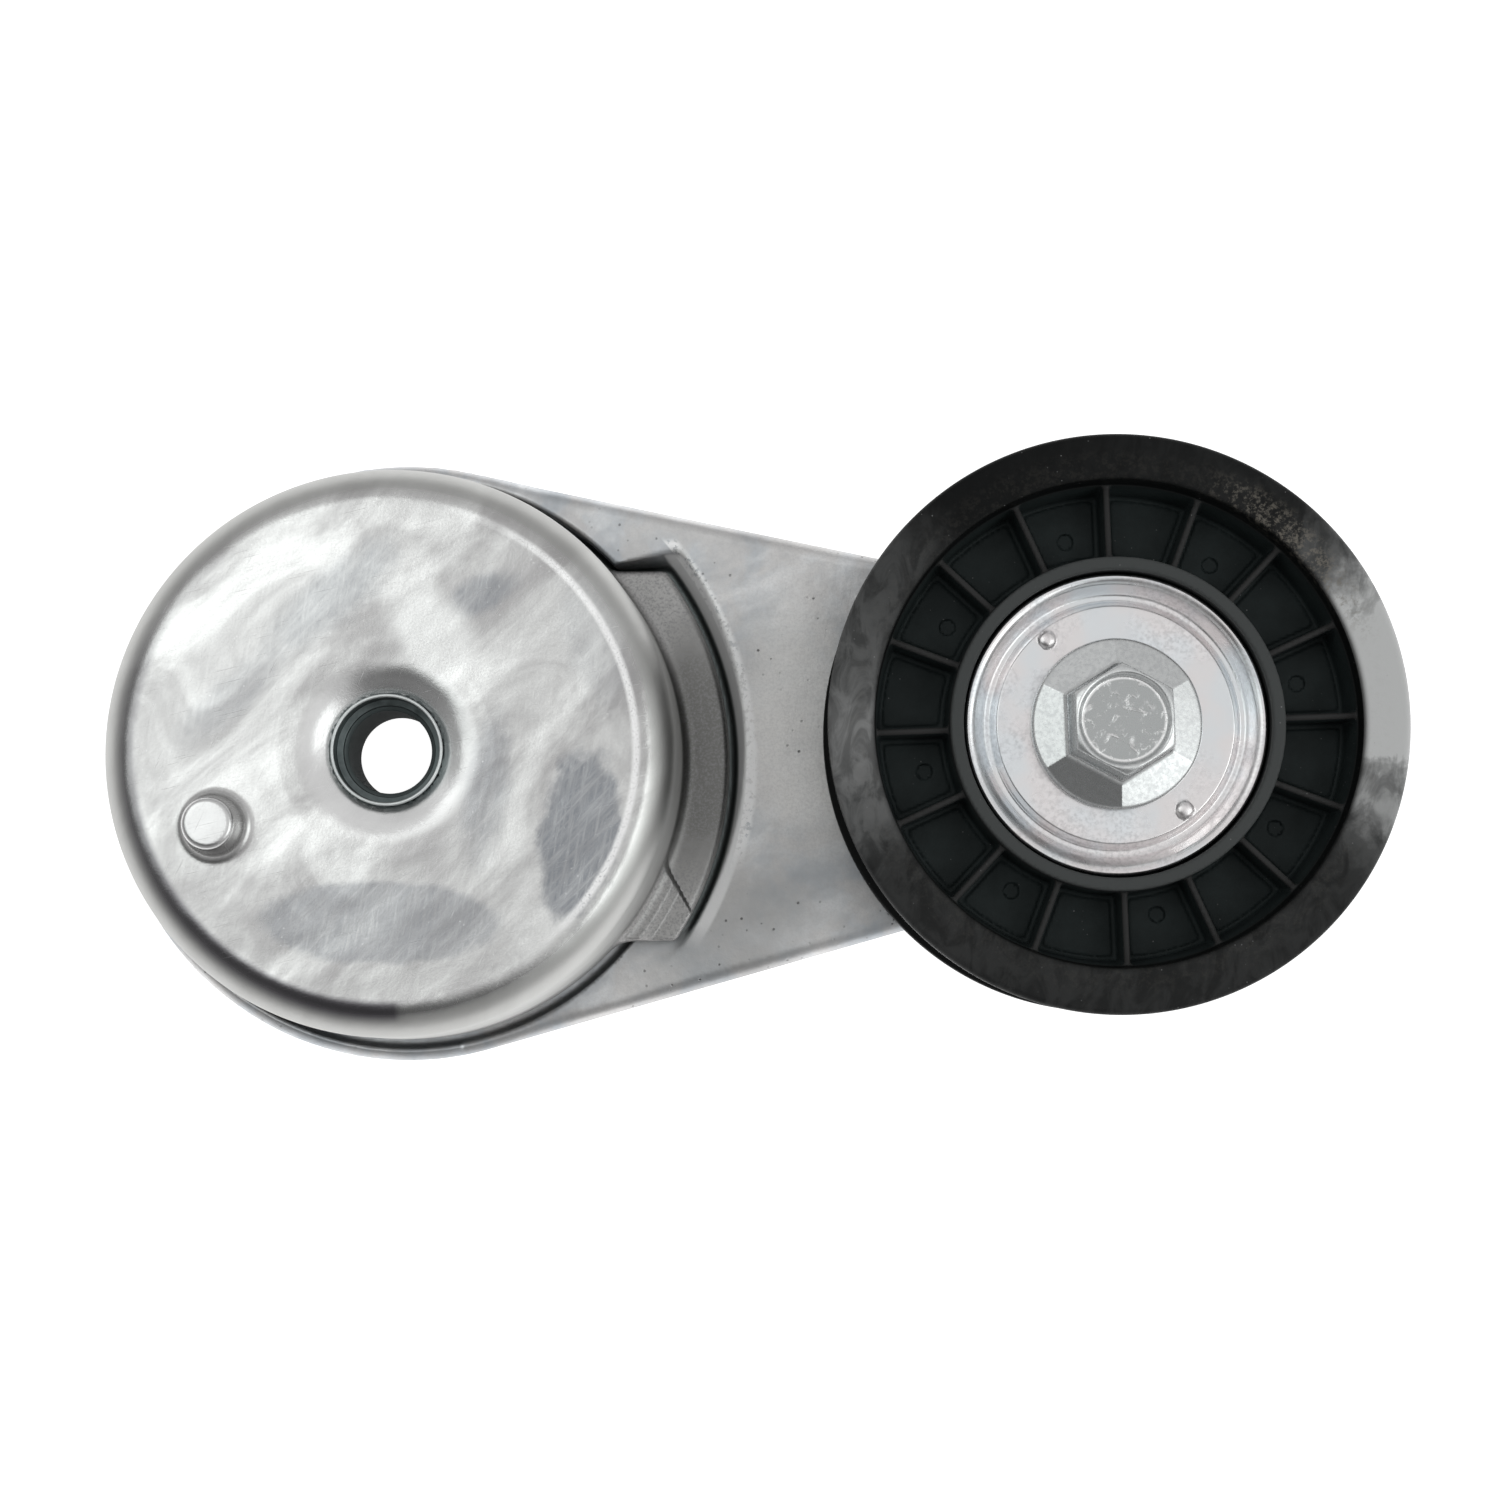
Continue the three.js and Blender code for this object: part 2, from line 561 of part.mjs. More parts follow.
function bearingCage() {
  let cage = ring(
    BALL_PITCH_R - 1, BALL_PITCH_R + 1,
    BEARING_MID_Z - CAGE_HALF_HEIGHT, BEARING_MID_Z + CAGE_HALF_HEIGHT, SMALL_SEGMENTS,
  );
  for (let i = 0; i < BALL_COUNT; i += 1) {
    cage = cage.subtract(solid(new THREE.SphereGeometry(BALL_R + GAP, 8, 6)).translate(ballPlace(i)));
  }
  return cage;
}

// ---------------------------------------------------------------- assembly
function mesh(name, manifold, look) {
  const { vertProperties, triVerts } = manifold.getMesh();
  const geometry = new THREE.BufferGeometry();
  geometry.setAttribute('position', new THREE.BufferAttribute(new Float32Array(vertProperties), 3));
  geometry.setIndex(new THREE.BufferAttribute(new Uint32Array(triVerts), 1));
  geometry.computeVertexNormals();
  const part = new THREE.Mesh(geometry, new THREE.MeshStandardMaterial({ ...look, flatShading: true }));
  part.name = name;
  return part;
}

function thrustWasher() {
  return ring(PIVOT_TUBE_R + GAP, 22, -44.9, -43.9, SMALL_SEGMENTS);
}

function retainingPlate() {
  return ring(PIVOT_TUBE_R + GAP, 23, -46.6, -45.2, SMALL_SEGMENTS);
}

function baseGroup() {
  return new THREE.Group().add(
    mesh('base_cup', baseCup(), castAluminium),
    mesh('pivot_tube', pivotTube(), zincSteel),
    mesh('pivot_sleeve', pivotSleeve(), zincSteel),
    mesh('torsion_spring', torsionSpring(), springSteel),
    mesh('damper_shoe', damperShoe(), blackNylon),
    mesh('thrust_washer', thrustWasher(), whiteNylon),
    mesh('retaining_plate', retainingPlate(), zincSteel),
  );
}

function pivotBushing() {
  return ring(PIVOT_TUBE_R + GAP, BUSHING_R, ARM_RECESS_Z, ARM_HUB_TUBE_TOP_Z, LARGE_SEGMENTS);
}

function armGroup() {
  return new THREE.Group().add(
    mesh('tensioner_arm', tensionerArm(), castAluminium),
    mesh('pivot_bushing', pivotBushing(), whiteNylon),
  );
}

// Everything on the pulley axis, built about its own axis and moved out along the arm.
function pulleyGroup() {
  const group = new THREE.Group().add(
    mesh('pulley_bolt', pulleyBolt(), zincSteel),
    mesh('front_dust_cover', frontDustCover(), zincSteel),
    mesh('rear_dust_shield', rearDustShield(), zincSteel),
    mesh('bearing_spacer', bearingSpacer(), zincSteel),
    mesh('pulley_wheel', pulleyWheel(), blackNylon),
    mesh('bearing_inner_ring', bearingInnerRing(), bearingSteel),
    mesh('bearing_outer_ring', bearingOuterRing(), bearingSteel),
    mesh('front_bearing_seal', bearingSeal(BEARING_FRONT_Z, -1), sealRubber),
    mesh('rear_bearing_seal', bearingSeal(BEARING_REAR_Z, 1), sealRubber),
    mesh('bearing_cage', bearingCage(), whiteNylon),
  );
  for (let i = 0; i < BALL_COUNT; i += 1) {
    group.add(mesh(`bearing_ball_${i + 1}`, bearingBall(i), bearingSteel));
  }
  group.position.x = CENTRE_DISTANCE;
  return group;
}

export default new THREE.Group().add(baseGroup(), armGroup(), pulleyGroup());
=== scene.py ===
"""A belt tensioner with its idler pulley: the fine visible pieces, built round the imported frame.

Shapes are described in millimetres in the part's own frame and written to Blender in metres.
Cast, moulded and forged pieces are signed distance fields, so that every edge and root has its radius;
turned and pressed pieces are outlines swept round an axis.
"""
import json
import math

import bpy
import numpy as np
from mathutils import Matrix, Vector


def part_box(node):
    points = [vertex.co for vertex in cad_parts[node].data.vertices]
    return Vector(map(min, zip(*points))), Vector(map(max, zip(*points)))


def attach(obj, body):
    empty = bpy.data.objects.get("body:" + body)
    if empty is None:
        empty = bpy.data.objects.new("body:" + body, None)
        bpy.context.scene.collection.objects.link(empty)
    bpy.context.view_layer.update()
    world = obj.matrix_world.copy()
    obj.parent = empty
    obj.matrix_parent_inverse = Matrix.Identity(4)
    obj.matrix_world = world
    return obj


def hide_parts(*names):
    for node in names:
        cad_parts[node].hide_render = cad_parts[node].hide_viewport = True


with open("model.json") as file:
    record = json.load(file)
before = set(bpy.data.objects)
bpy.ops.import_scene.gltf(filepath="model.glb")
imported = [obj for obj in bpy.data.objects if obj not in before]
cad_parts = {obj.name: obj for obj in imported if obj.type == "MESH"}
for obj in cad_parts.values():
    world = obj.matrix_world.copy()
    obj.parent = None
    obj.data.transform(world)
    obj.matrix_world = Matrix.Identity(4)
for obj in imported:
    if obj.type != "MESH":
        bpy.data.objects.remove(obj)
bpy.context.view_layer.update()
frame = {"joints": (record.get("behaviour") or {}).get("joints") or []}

MM = 0.001
PULLEY_X = next(j["pos_m"][0] for j in frame["joints"] if j["name"] == "pulley_spin") / MM
FLOOR_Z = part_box("tensioner_arm")[0].z / MM
BASE_TURN = math.radians(2.1)  # the base's own axes against the arm's direction at rest


# ------------------------------------------------------------------ outlines
def round_corners(outline, degrees_per_step):
    """A closed outline of (r, z, corner radius) points with its corners as arcs, and its outward normals."""
    points, tangents = [], []
    count = len(outline)
    for i in range(count):
        corner = np.array(outline[i][:2], float)
        before = np.array(outline[i - 1][:2], float) - corner
        after = np.array(outline[(i + 1) % count][:2], float) - corner
        length_before, length_after = np.linalg.norm(before), np.linalg.norm(after)
        before, after = before / length_before, after / length_after
        half = math.acos(np.clip(before @ after, -1, 1)) / 2
        reach = min(outline[i][2] / math.tan(half), 0.499 * length_before, 0.499 * length_after)
        middle = before + after
        if reach < 1e-4 or np.linalg.norm(middle) < 1e-6:
            points.append(corner)
            tangents.append(after)
            continue
        radius = reach * math.tan(half)
        centre = corner + middle / np.linalg.norm(middle) * radius / math.sin(half)
        start, end = corner + before * reach - centre, corner + after * reach - centre
        turn = math.atan2(start[0] * end[1] - start[1] * end[0], start @ end)
        steps = max(2, math.ceil(abs(math.degrees(turn)) / degrees_per_step))
        for k in range(steps + 1):
            c, s = math.cos(turn * k / steps), math.sin(turn * k / steps)
            spoke = np.array([c * start[0] - s * start[1], s * start[0] + c * start[1]])
            points.append(centre + spoke)
            tangents.append(np.array([-spoke[1], spoke[0]]) / radius * math.copysign(1, turn))
    points, tangents = np.array(points), np.array(tangents)
    following = np.roll(points, -1, axis=0)
    area = np.sum(points[:, 0] * following[:, 1] - following[:, 0] * points[:, 1])
    if area < 0:
        points, tangents = points[::-1], -tangents[::-1]
    return points, np.stack([tangents[:, 1], -tangents[:, 0]], 1)


def outline_distance(points, r, z):
    """Signed distance from a closed outline, negative inside."""
    nearest = np.full(r.shape, 1e9)
    inside = np.zeros(r.shape, bool)
    for (ar, az), (br, bz) in zip(points, np.roll(points, -1, axis=0)):
        er, ez = br - ar, bz - az
        if er * er + ez * ez < 1e-12:
            continue
        along = np.clip(((r - ar) * er + (z - az) * ez) / (er * er + ez * ez), 0, 1)
        nearest = np.minimum(nearest, (r - ar - along * er) ** 2 + (z - az - along * ez) ** 2)
        if ez:
            inside ^= ((az > z) != (bz > z)) & (r < er * (z - az) / ez + ar)
    return np.where(inside, -1, 1) * np.sqrt(nearest)


# ------------------------------------------------------------------ distance fields
def revolve(outline):
    """The field of an outline of (r, z, corner radius) turned round the Z axis, looked up in a fine table."""
    cell, margin = 0.1, 2.5
    ring, _ = round_corners(outline, 2.0)
    low = ring.min(0) - margin
    size = np.ceil((ring.max(0) + margin - low) / cell).astype(int) + 1
    r, z = np.meshgrid(low[0] + cell * np.arange(size[0]), low[1] + cell * np.arange(size[1]), indexing="ij")
    table = outline_distance(ring, r, z)

    def field(p):
        u = (np.hypot(p[:, 0], p[:, 1]) - low[0]) / cell
        v = (p[:, 2] - low[1]) / cell
        cu, cv = np.clip(u, 0, size[0] - 1.001), np.clip(v, 0, size[1] - 1.001)
        i, j = cu.astype(int), cv.astype(int)
        fu, fv = cu - i, cv - j
        near = table[i, j] * (1 - fu) + table[i + 1, j] * fu
        far = table[i, j + 1] * (1 - fu) + table[i + 1, j + 1] * fu
        return near * (1 - fv) + far * fv + cell * np.hypot(u - cu, v - cv)

    return field


def join(a, b, blend):
    """Union of two fields, with a fillet where they meet."""
    mix = np.maximum(blend - np.abs(a - b), 0) / blend
    return np.minimum(a, b) - mix * mix * blend / 4


def overlap(a, b, blend):
    return -join(-a, -b, blend)


def cut(a, b, blend):
    return -join(-a, b, blend)


def rounded_meeting(a, b, radius):
    """Where two fields meet at an outside edge of that radius."""
    a, b = a + radius, b + radius
    return np.minimum(np.maximum(a, b), 0) + np.hypot(np.maximum(a, 0), np.maximum(b, 0)) - radius


def slab(flat, z, low, high, edge):
    """A flat shape's field given thickness from low to high, with rounded edges."""
    return rounded_meeting(flat, np.abs(z - (low + high) / 2) - (high - low) / 2, edge)


def taper_flat(p, hub_r, end_r):
    """Flat field of the outline round the hub's and the pulley end's circles and their tangents."""
    x, y = p[:, 0], np.abs(p[:, 1])
    sine = (hub_r - end_r) / PULLEY_X
    cosine = math.sqrt(1 - sine * sine)
    along = x * cosine - y * sine
    side = x * sine + y * cosine - hub_r
    at_hub = np.hypot(x, y) - hub_r
    at_end = np.hypot(x - PULLEY_X, y) - end_r
    return np.where(along < 0, at_hub, np.where(along > PULLEY_X * cosine, at_end, side))


def square_flat(x, y, half, corner):
    return rounded_meeting(np.abs(x) - half, np.abs(y) - half, corner)


def half_plane(p, through, direction):
    """Flat field that is negative to the right of a line."""
    unit = np.array(direction, float) / np.linalg.norm(direction)
    return -(p[:, 0] - through[0]) * unit[1] + (p[:, 1] - through[1]) * unit[0]


# ------------------------------------------------------------------ meshes from fields
BLOCK = 8  # grid cells along each side of a block
CHUNK = 400_000  # points that a field is worked out for at a time


def in_chunks(field, points):
    return np.concatenate([field(points[i:i + CHUNK]) for i in range(0, len(points), CHUNK)])


def sample(field, low, step, blocks):
    """The field on a grid, worked out in full only in the blocks that its surface passes through."""
    index = np.indices(blocks).reshape(3, -1).T
    at_centre = in_chunks(field, low + (index + 0.5) * BLOCK * step)
    crossed = np.abs(at_centre) < 0.5 * BLOCK * step * math.sqrt(3) * 1.2 + step
    values = np.where(at_centre < 0, -1.0, 1.0).reshape(blocks)
    for axis in range(3):
        values = values.repeat(BLOCK, axis)
    values = np.pad(values, [(0, 1)] * 3, "edge")
    needed = np.zeros(values.shape, bool)
    for i, j, k in index[crossed] * BLOCK:
        needed[i:i + BLOCK + 1, j:j + BLOCK + 1, k:k + BLOCK + 1] = True
    values[needed] = in_chunks(field, low + np.argwhere(needed) * step)
    return values


def surface_nets(values, low, step):
    """Points and outward quads of the zero surface of a sampled field."""
    quads, places = [], []
    for axis in range(3):
        a = values[tuple(slice(None, -1) if k == axis else slice(None) for k in range(3))]
        b = values[tuple(slice(1, None) if k == axis else slice(None) for k in range(3))]
        edges = np.argwhere((a < 0) != (b < 0))
        value_a, value_b = a[tuple(edges.T)], b[tuple(edges.T)]
        place = edges.astype(float)
        place[:, axis] += value_a / (value_a - value_b)
        quad = []
        for across, up in ((0, 0), (-1, 0), (-1, -1), (0, -1)):
            cell = edges.copy()
            cell[:, (axis + 1) % 3] += across
            cell[:, (axis + 2) % 3] += up
            quad.append(np.ravel_multi_index(tuple(cell.T), values.shape))
        quad = np.stack(quad, 1)
        quad[value_a > 0] = quad[value_a > 0][:, ::-1]
        quads.append(quad)
        places.append(place.repeat(4, axis=0))
    quads = np.concatenate(quads)
    places = np.concatenate(places)
    used, owner = np.unique(quads.ravel(), return_inverse=True)
    owner = owner.ravel()
    count = np.bincount(owner)
    points = np.stack([np.bincount(owner, places[:, k]) / count for k in range(3)], 1)
    return low + points * step, owner.reshape(-1, 4)


def gradient(field, points, h):
    parts = [in_chunks(field, points + o) - in_chunks(field, points - o) for o in np.eye(3) * h]
    return np.stack(parts, 1) / (2 * h)


def onto_surface(field, points, reach):
    """Points moved down the field's slope onto its surface."""
    for _ in range(2):
        slope = gradient(field, points, 0.05)
        value = np.clip(in_chunks(field, points), -reach, reach)
        points = points - slope * (value / np.maximum((slope ** 2).sum(1), 0.3))[:, None]
    return points


def new_object(name, points, faces, normals=None):
    """A smooth mesh object from points in millimetres and equal-sided faces."""
    mesh = bpy.data.meshes.new(name)
    mesh.vertices.add(len(points))
    mesh.vertices.foreach_set("co", (np.asarray(points) * MM).astype(np.float32).ravel())
    mesh.loops.add(faces.size)
    mesh.loops.foreach_set("vertex_index", faces.astype(np.int32).ravel())
    mesh.polygons.add(len(faces))
    mesh.polygons.foreach_set("loop_start", np.arange(0, faces.size, faces.shape[1], dtype=np.int32))
    mesh.update(calc_edges=True)
    mesh.shade_smooth()
    if normals is not None:
        mesh.normals_split_custom_set_from_vertices(normals.tolist())
    piece = bpy.data.objects.new(name, mesh)
    bpy.context.scene.collection.objects.link(piece)
    return piece


def thinned(points, faces, keep):
    """The same surface with fewer, larger faces where it is flat."""
    if keep >= 1:
        return points, faces
    draft = new_object("draft", points, faces)
    modifier = draft.modifiers.new("thin", "DECIMATE")
    modifier.ratio = keep
    bpy.context.view_layer.update()
    mesh = draft.evaluated_get(bpy.context.evaluated_depsgraph_get()).to_mesh()
    found = np.empty(len(mesh.vertices) * 3, np.float32)
    mesh.vertices.foreach_get("co", found)
    mesh.calc_loop_triangles()
    triangles = np.empty(len(mesh.loop_triangles) * 3, np.int32)
    mesh.loop_triangles.foreach_get("vertices", triangles)
    bpy.data.objects.remove(draft)
    return found.reshape(-1, 3).astype(float) / MM, triangles.reshape(-1, 3)


def solid(name, field, low, high, step, keep=1.0, normal_reach=0.15):
    """A mesh object of the surface of a distance field within a box, in millimetres."""
    low, high = np.array(low, float) - 2 * step, np.array(high, float) + 2 * step
    blocks = np.ceil((high - low) / step / BLOCK).astype(int)
    points, faces = surface_nets(sample(field, low, step, blocks), low, step)
    points = onto_surface(field, points, step)
    points, faces = thinned(points, faces, keep)
    normals = gradient(field, points, normal_reach)
    normals /= np.linalg.norm(normals, axis=1)[:, None]
    return new_object(name, points, faces, normals)


def turned(name, outline, x=0.0, segments=144, lift=None, dense_at=()):
    """A mesh object of an outline of (r, z, corner radius) turned round the vertical at x.
    lift(x, y) raises points for what is pressed into the shape, at the angles dense_at."""
    ring, ring_normals = round_corners(outline, 12.0)
    angle = np.arange(segments) * 2 * math.pi / segments
    patches = [a + np.radians(np.arange(-7, 7.1, 0.7)) for a in dense_at]
    angle = np.unique(np.concatenate([angle, *patches]) % (2 * math.pi))
    angle = angle[np.diff(angle, append=angle[0] + 2 * math.pi) > 1e-3]
    segments, count = len(angle), len(ring)
    cosine, sine = np.repeat(np.cos(angle), count), np.repeat(np.sin(angle), count)
    r, z = np.tile(ring[:, 0], segments), np.tile(ring[:, 1], segments)
    nr, nz = np.tile(ring_normals[:, 0], segments), np.tile(ring_normals[:, 1], segments)
    points = np.stack([r * cosine, r * sine, z], 1)
    normals = np.stack([nr * cosine, nr * sine, nz], 1)
    i, j = np.meshgrid(np.arange(segments), np.arange(count), indexing="ij")
    here, beside = i * count + j, (i + 1) % segments * count + j
    above = i * count + (j + 1) % count
    beside_above = (i + 1) % segments * count + (j + 1) % count
    faces = np.stack([here, beside, beside_above, above], -1).reshape(-1, 4)
    if lift is not None:
        points[:, 2] += lift(points[:, 0], points[:, 1])
        normals = None
    points[:, 0] += x
    return new_object(name, points, faces, normals)


# ------------------------------------------------------------------ the base
CUP_OUTLINE = [
    (7.6, -1.45, 0.1), (8.1, -1.35, 1.5), (11.3, -0.12, 9.0), (14.8, 0, 0.5), (39.1, 0, 5.0),
    (40.2, -28.5, 0.8), (36.4, -28.5, 0.8), (35.2, -5, 4.0), (7.6, -5, 0.1),
]
TAB_ROOT_R, TAB_R, TAB_UPPER_Y, TAB_LOWER_Y = 37.5, 46.7, 28.0, -25.9
TAB_TOP_Z, TAB_BOTTOM_Z, TAB_EDGE_R = -26.0, -28.4, 1.0
LUG_START, LUG_START_DIRECTION, LUG_RISE = (36.85, -14.3), (4.18, -7.15), 0.55
LEDGE_R, LEDGE_RISE, LEDGE_SLOPE, LEDGE_RUN = 42.4, 1.7, 0.9, 1.4
PIN_X, PIN_Y, PIN_HEIGHT = -23.25, -10.3, 6.3
PIN_OUTLINE = [(-3, -3, 0), (4.9, -3, 0), (4.1, 0.6, 1.2), (3.55, PIN_HEIGHT, 0.9), (-3, PIN_HEIGHT, 0)]
TAB_FILLET, PIN_FILLET = 1.8, 1.3


def base_axes(p):
    """Points measured along the base's own axes."""
    c, s = math.cos(BASE_TURN), math.sin(BASE_TURN)
    return np.stack([c * p[:, 0] - s * p[:, 1], s * p[:, 0] + c * p[:, 1], p[:, 2]], 1)


def stop_tab(q):
    """The flat tab at the cup's foot, with the raised lug and its ledge at the lower end."""
    r, z = np.hypot(q[:, 0], q[:, 1]), q[:, 2]
    band = np.maximum(np.maximum(q[:, 1] - TAB_UPPER_Y, TAB_LOWER_Y - q[:, 1]), -q[:, 0])
    outline = np.maximum(overlap(r - TAB_R, band, 0.5), TAB_ROOT_R - r)
    tab = slab(outline, z, TAB_BOTTOM_Z, TAB_TOP_Z, TAB_EDGE_R)
    lug_outline = overlap(outline, half_plane(q, LUG_START, LUG_START_DIRECTION), 0.2)
    lug = slab(lug_outline, z, TAB_BOTTOM_Z, TAB_TOP_Z + LUG_RISE, 0.25)
    ledge_top = TAB_TOP_Z + LEDGE_RISE - LEDGE_SLOPE * np.maximum(r - LEDGE_R, 0)
    ledge = rounded_meeting(np.maximum(lug_outline, r - LEDGE_R - LEDGE_RUN), z - ledge_top, 0.4)
    ledge = np.maximum(ledge, TAB_BOTTOM_Z - z)
    return join(tab, join(lug, ledge, 0.3), 0.25)


def base_cup():
    shell = revolve(CUP_OUTLINE)
    pin = revolve(PIN_OUTLINE)

    def field(p):
        q = base_axes(p)
        cup = join(shell(q), stop_tab(q), TAB_FILLET)
        return join(cup, pin(q - [PIN_X, PIN_Y, 0]), PIN_FILLET)

    return solid("base_cup_casting", field, (-41, -41, -29), (48, 41, 6.5), 0.42, keep=0.45)


def pivot_sleeve():
    return turned("pivot_sleeve_steel", [
        (7.2, -0.05, 0.25), (7.66, -0.05, 0.15), (7.66, -16.9, 0.1), (10.6, -16.9, 0.3), (10.6, -18.4, 0.3),
        (5.75, -18.4, 0.3), (5.75, -4.45, 0.25), (6.3, -4.2, 0.1), (6.3, -3.65, 0.15), (7.2, -3.4, 0.1),
    ])


def pivot_tube():
    """The tube that the arm turns on, flanged at the cup and swaged over the retaining plate."""
    return turned("pivot_tube_steel", [
        (7.95, -5.3, 0.3), (16.5, -5.3, 0.3), (16.5, -7.5, 0.3), (14, -7.5, 0.6), (14, -46.9, 0.2),
        (15.6, -46.9, 0.2), (15.1, -48.1, 0.7), (11, -48.1, 0.5), (11, -16.6, 0.2), (7.95, -16.6, 0.2),
    ])


def plain_ring(name, inner, outer, low, high, edge=0.15, x=0.0):
    outline = [(inner, low, edge), (outer, low, edge), (outer, high, edge), (inner, high, edge)]
    return turned(name, outline, x=x)


SPRING_TURNS, SPRING_R, WIRE_R, END_WIRE_SHARE = 5, 29.5, 2.7, 0.75
SPRING_TOP_Z, SPRING_BOTTOM_Z = -8.4, -41.2


def torsion_spring():
    """Round wire coiled five turns, a little thinner at its two cut ends."""
    steps, sides = SPRING_TURNS * 64, 20
    t = np.linspace(0, 1, steps + 1)
    angle = 2 * math.pi * SPRING_TURNS * t
    height = SPRING_TOP_Z + (SPRING_BOTTOM_Z - SPRING_TOP_Z) * t
    centre = np.stack([SPRING_R * np.cos(angle), SPRING_R * np.sin(angle), height], 1)
    along = np.gradient(centre, axis=0)
    along /= np.linalg.norm(along, axis=1)[:, None]
    outward = np.stack([np.cos(angle), np.sin(angle), np.zeros_like(angle)], 1)
    upward = np.cross(along, outward)
    section = np.arange(sides) * 2 * math.pi / sides
    wire_r = np.full(steps + 1, WIRE_R)
    wire_r[[0, -1]] *= END_WIRE_SHARE
    spokes = outward[:, None] * np.cos(section)[:, None] + upward[:, None] * np.sin(section)[:, None]
    points = (centre[:, None] + spokes * wire_r[:, None, None]).reshape(-1, 3)
    points = np.concatenate([points, centre[[0, -1]]])

    i, j = np.meshgrid(np.arange(steps) * sides, np.arange(sides), indexing="ij")
    beside = (j + 1) % sides
    ring = np.stack([i + j, i + beside, i + sides + beside, i + sides + j], -1).reshape(-1, 4)
    first, last, end = len(points) - 2, len(points) - 1, steps * sides
    j = np.arange(0, sides, 2)
    after = (j + 2) % sides
    first_cap = np.stack([np.full(len(j), first), after, j + 1, j], 1)
    last_cap = np.stack([np.full(len(j), last), end + j, end + j + 1, end + after], 1)
    return new_object("torsion_spring_wire", points, np.concatenate([ring, first_cap, last_cap]))


SHOE_R, SHOE_HALF_WALL, SHOE_MIDDLE, SHOE_HALF = 33.7, 1.15, -0.35 * math.pi, 0.55 * math.pi
SHOE_GROOVE_PITCH, SHOE_GROOVE_HALF, SHOE_GROOVE_FLOOR_R = math.radians(18), 0.5, 34.2


def damper_shoe():
    """Arc of plastic against the cup's wall, grooved across its outer face."""
    def field(p):
        r, angle = np.hypot(p[:, 0], p[:, 1]), np.arctan2(p[:, 1], p[:, 0])
        off = (angle - SHOE_MIDDLE + math.pi) % (2 * math.pi) - math.pi
        flat = np.maximum(np.abs(r - SHOE_R) - SHOE_HALF_WALL, (np.abs(off) - SHOE_HALF) * r)
        from_groove = np.abs((off + math.pi) % SHOE_GROOVE_PITCH - SHOE_GROOVE_PITCH / 2) * r
        groove = np.maximum(from_groove - SHOE_GROOVE_HALF, SHOE_GROOVE_FLOOR_R - r)
        return cut(slab(flat, p[:, 2], -26, -12, 0.3), groove, 0.2)

    return solid("damper_shoe_moulding", field, (-36, -36, -27), (36, 36, -11), 0.6)


# ------------------------------------------------------------------ the arm
ARM_HUB_R, ARM_END_R, ARM_WALL = 43.3, 19.4, 4
ARM_TOP_Z, ARM_TOP_SLOPE, ARM_BACK_Z, ARM_DRAFT = -27.3, 0.05, -41.0, 0.02
TOP_EDGE_R, BACK_EDGE_R, HUB_BACK_EDGE_R = 2.2, 0.8, 3.0
BACK_HOLLOW_DEPTH, BACK_BOSS_R, DRIVE_BOSS_R, BACK_WEB_HALF = 8, 14, 10.5, 1.5
POCKET_R, POCKET_FLOOR_Z, POCKET_START_X = 47.4, -29.2, 8
POCKET_FOOT, POCKET_FOOT_DIRECTION = (30.1, 28.2), (1.0, 0.04)
CHAMBER_OUTLINE = [
    (20.2, -10, 0), (20.2, -39.6, 2.5), (25, -39.6, 2), (26.5, -44.5, 2), (38, -44.5, 3),
    (38, -30, 0.6), (41.5, -30, 1.0), (41.5, -10, 0),
]
BOSS_OUTLINE = [(-5, -41, 0), (14.5, -41, 0.5), (13.6, -27, 0), (13, -18.9, 0.8), (-5, -18.9, 0)]
BOLT_HOLE_R = 5.15
DRIVE_X, DRIVE_HALF, DRIVE_TOP_Z = 62.0, 4.9, -31.5
HUB_BORE_R, HUB_TUBE_R, HUB_TUBE_HALF_WALL, HUB_TUBE_TOP_Z = 16.6, 18.4, 1.8, -22.0
PLATE_RECESS_R, PLATE_RECESS_Z = 25, -43.6
FIELD_SCALE = 0.3  # keeps the steep field of the leaning pocket walls within what sample() allows for


def arm_outside(p, z, r, outline):
    """Tapered plate and round hub under a top that slopes across the arm."""
    top = (z - ARM_TOP_Z - ARM_TOP_SLOPE * p[:, 1]) / math.hypot(1, ARM_TOP_SLOPE)
    side = outline + ARM_DRAFT * (z - ARM_TOP_Z)
    plate = rounded_meeting(np.maximum(side, ARM_BACK_Z - z), top, TOP_EDGE_R)
    plate = rounded_meeting(plate, ARM_BACK_Z - z, BACK_EDGE_R)
    hub = rounded_meeting(rounded_meeting(r - ARM_HUB_R, top, TOP_EDGE_R), FLOOR_Z - z, HUB_BACK_EDGE_R)
    return plate, hub


def back_hollow(p, z, r, at_boss):
    """What is left out of the arm's back between its walls, bosses and middle web."""
    walls = taper_flat(p, ARM_HUB_R - ARM_WALL, ARM_END_R - ARM_WALL)
    inner = np.maximum(walls, ARM_HUB_R + ARM_WALL / 2 - r)
    inner = overlap(inner, BACK_BOSS_R - at_boss, 2)
    inner = overlap(inner, DRIVE_BOSS_R - np.hypot(p[:, 0] - DRIVE_X, p[:, 1]), 2)
    inner = overlap(inner, BACK_WEB_HALF - np.abs(p[:, 1]), 2)
    return slab(inner, z, ARM_BACK_Z - BACK_HOLLOW_DEPTH, ARM_BACK_Z + BACK_HOLLOW_DEPTH, 1.5)


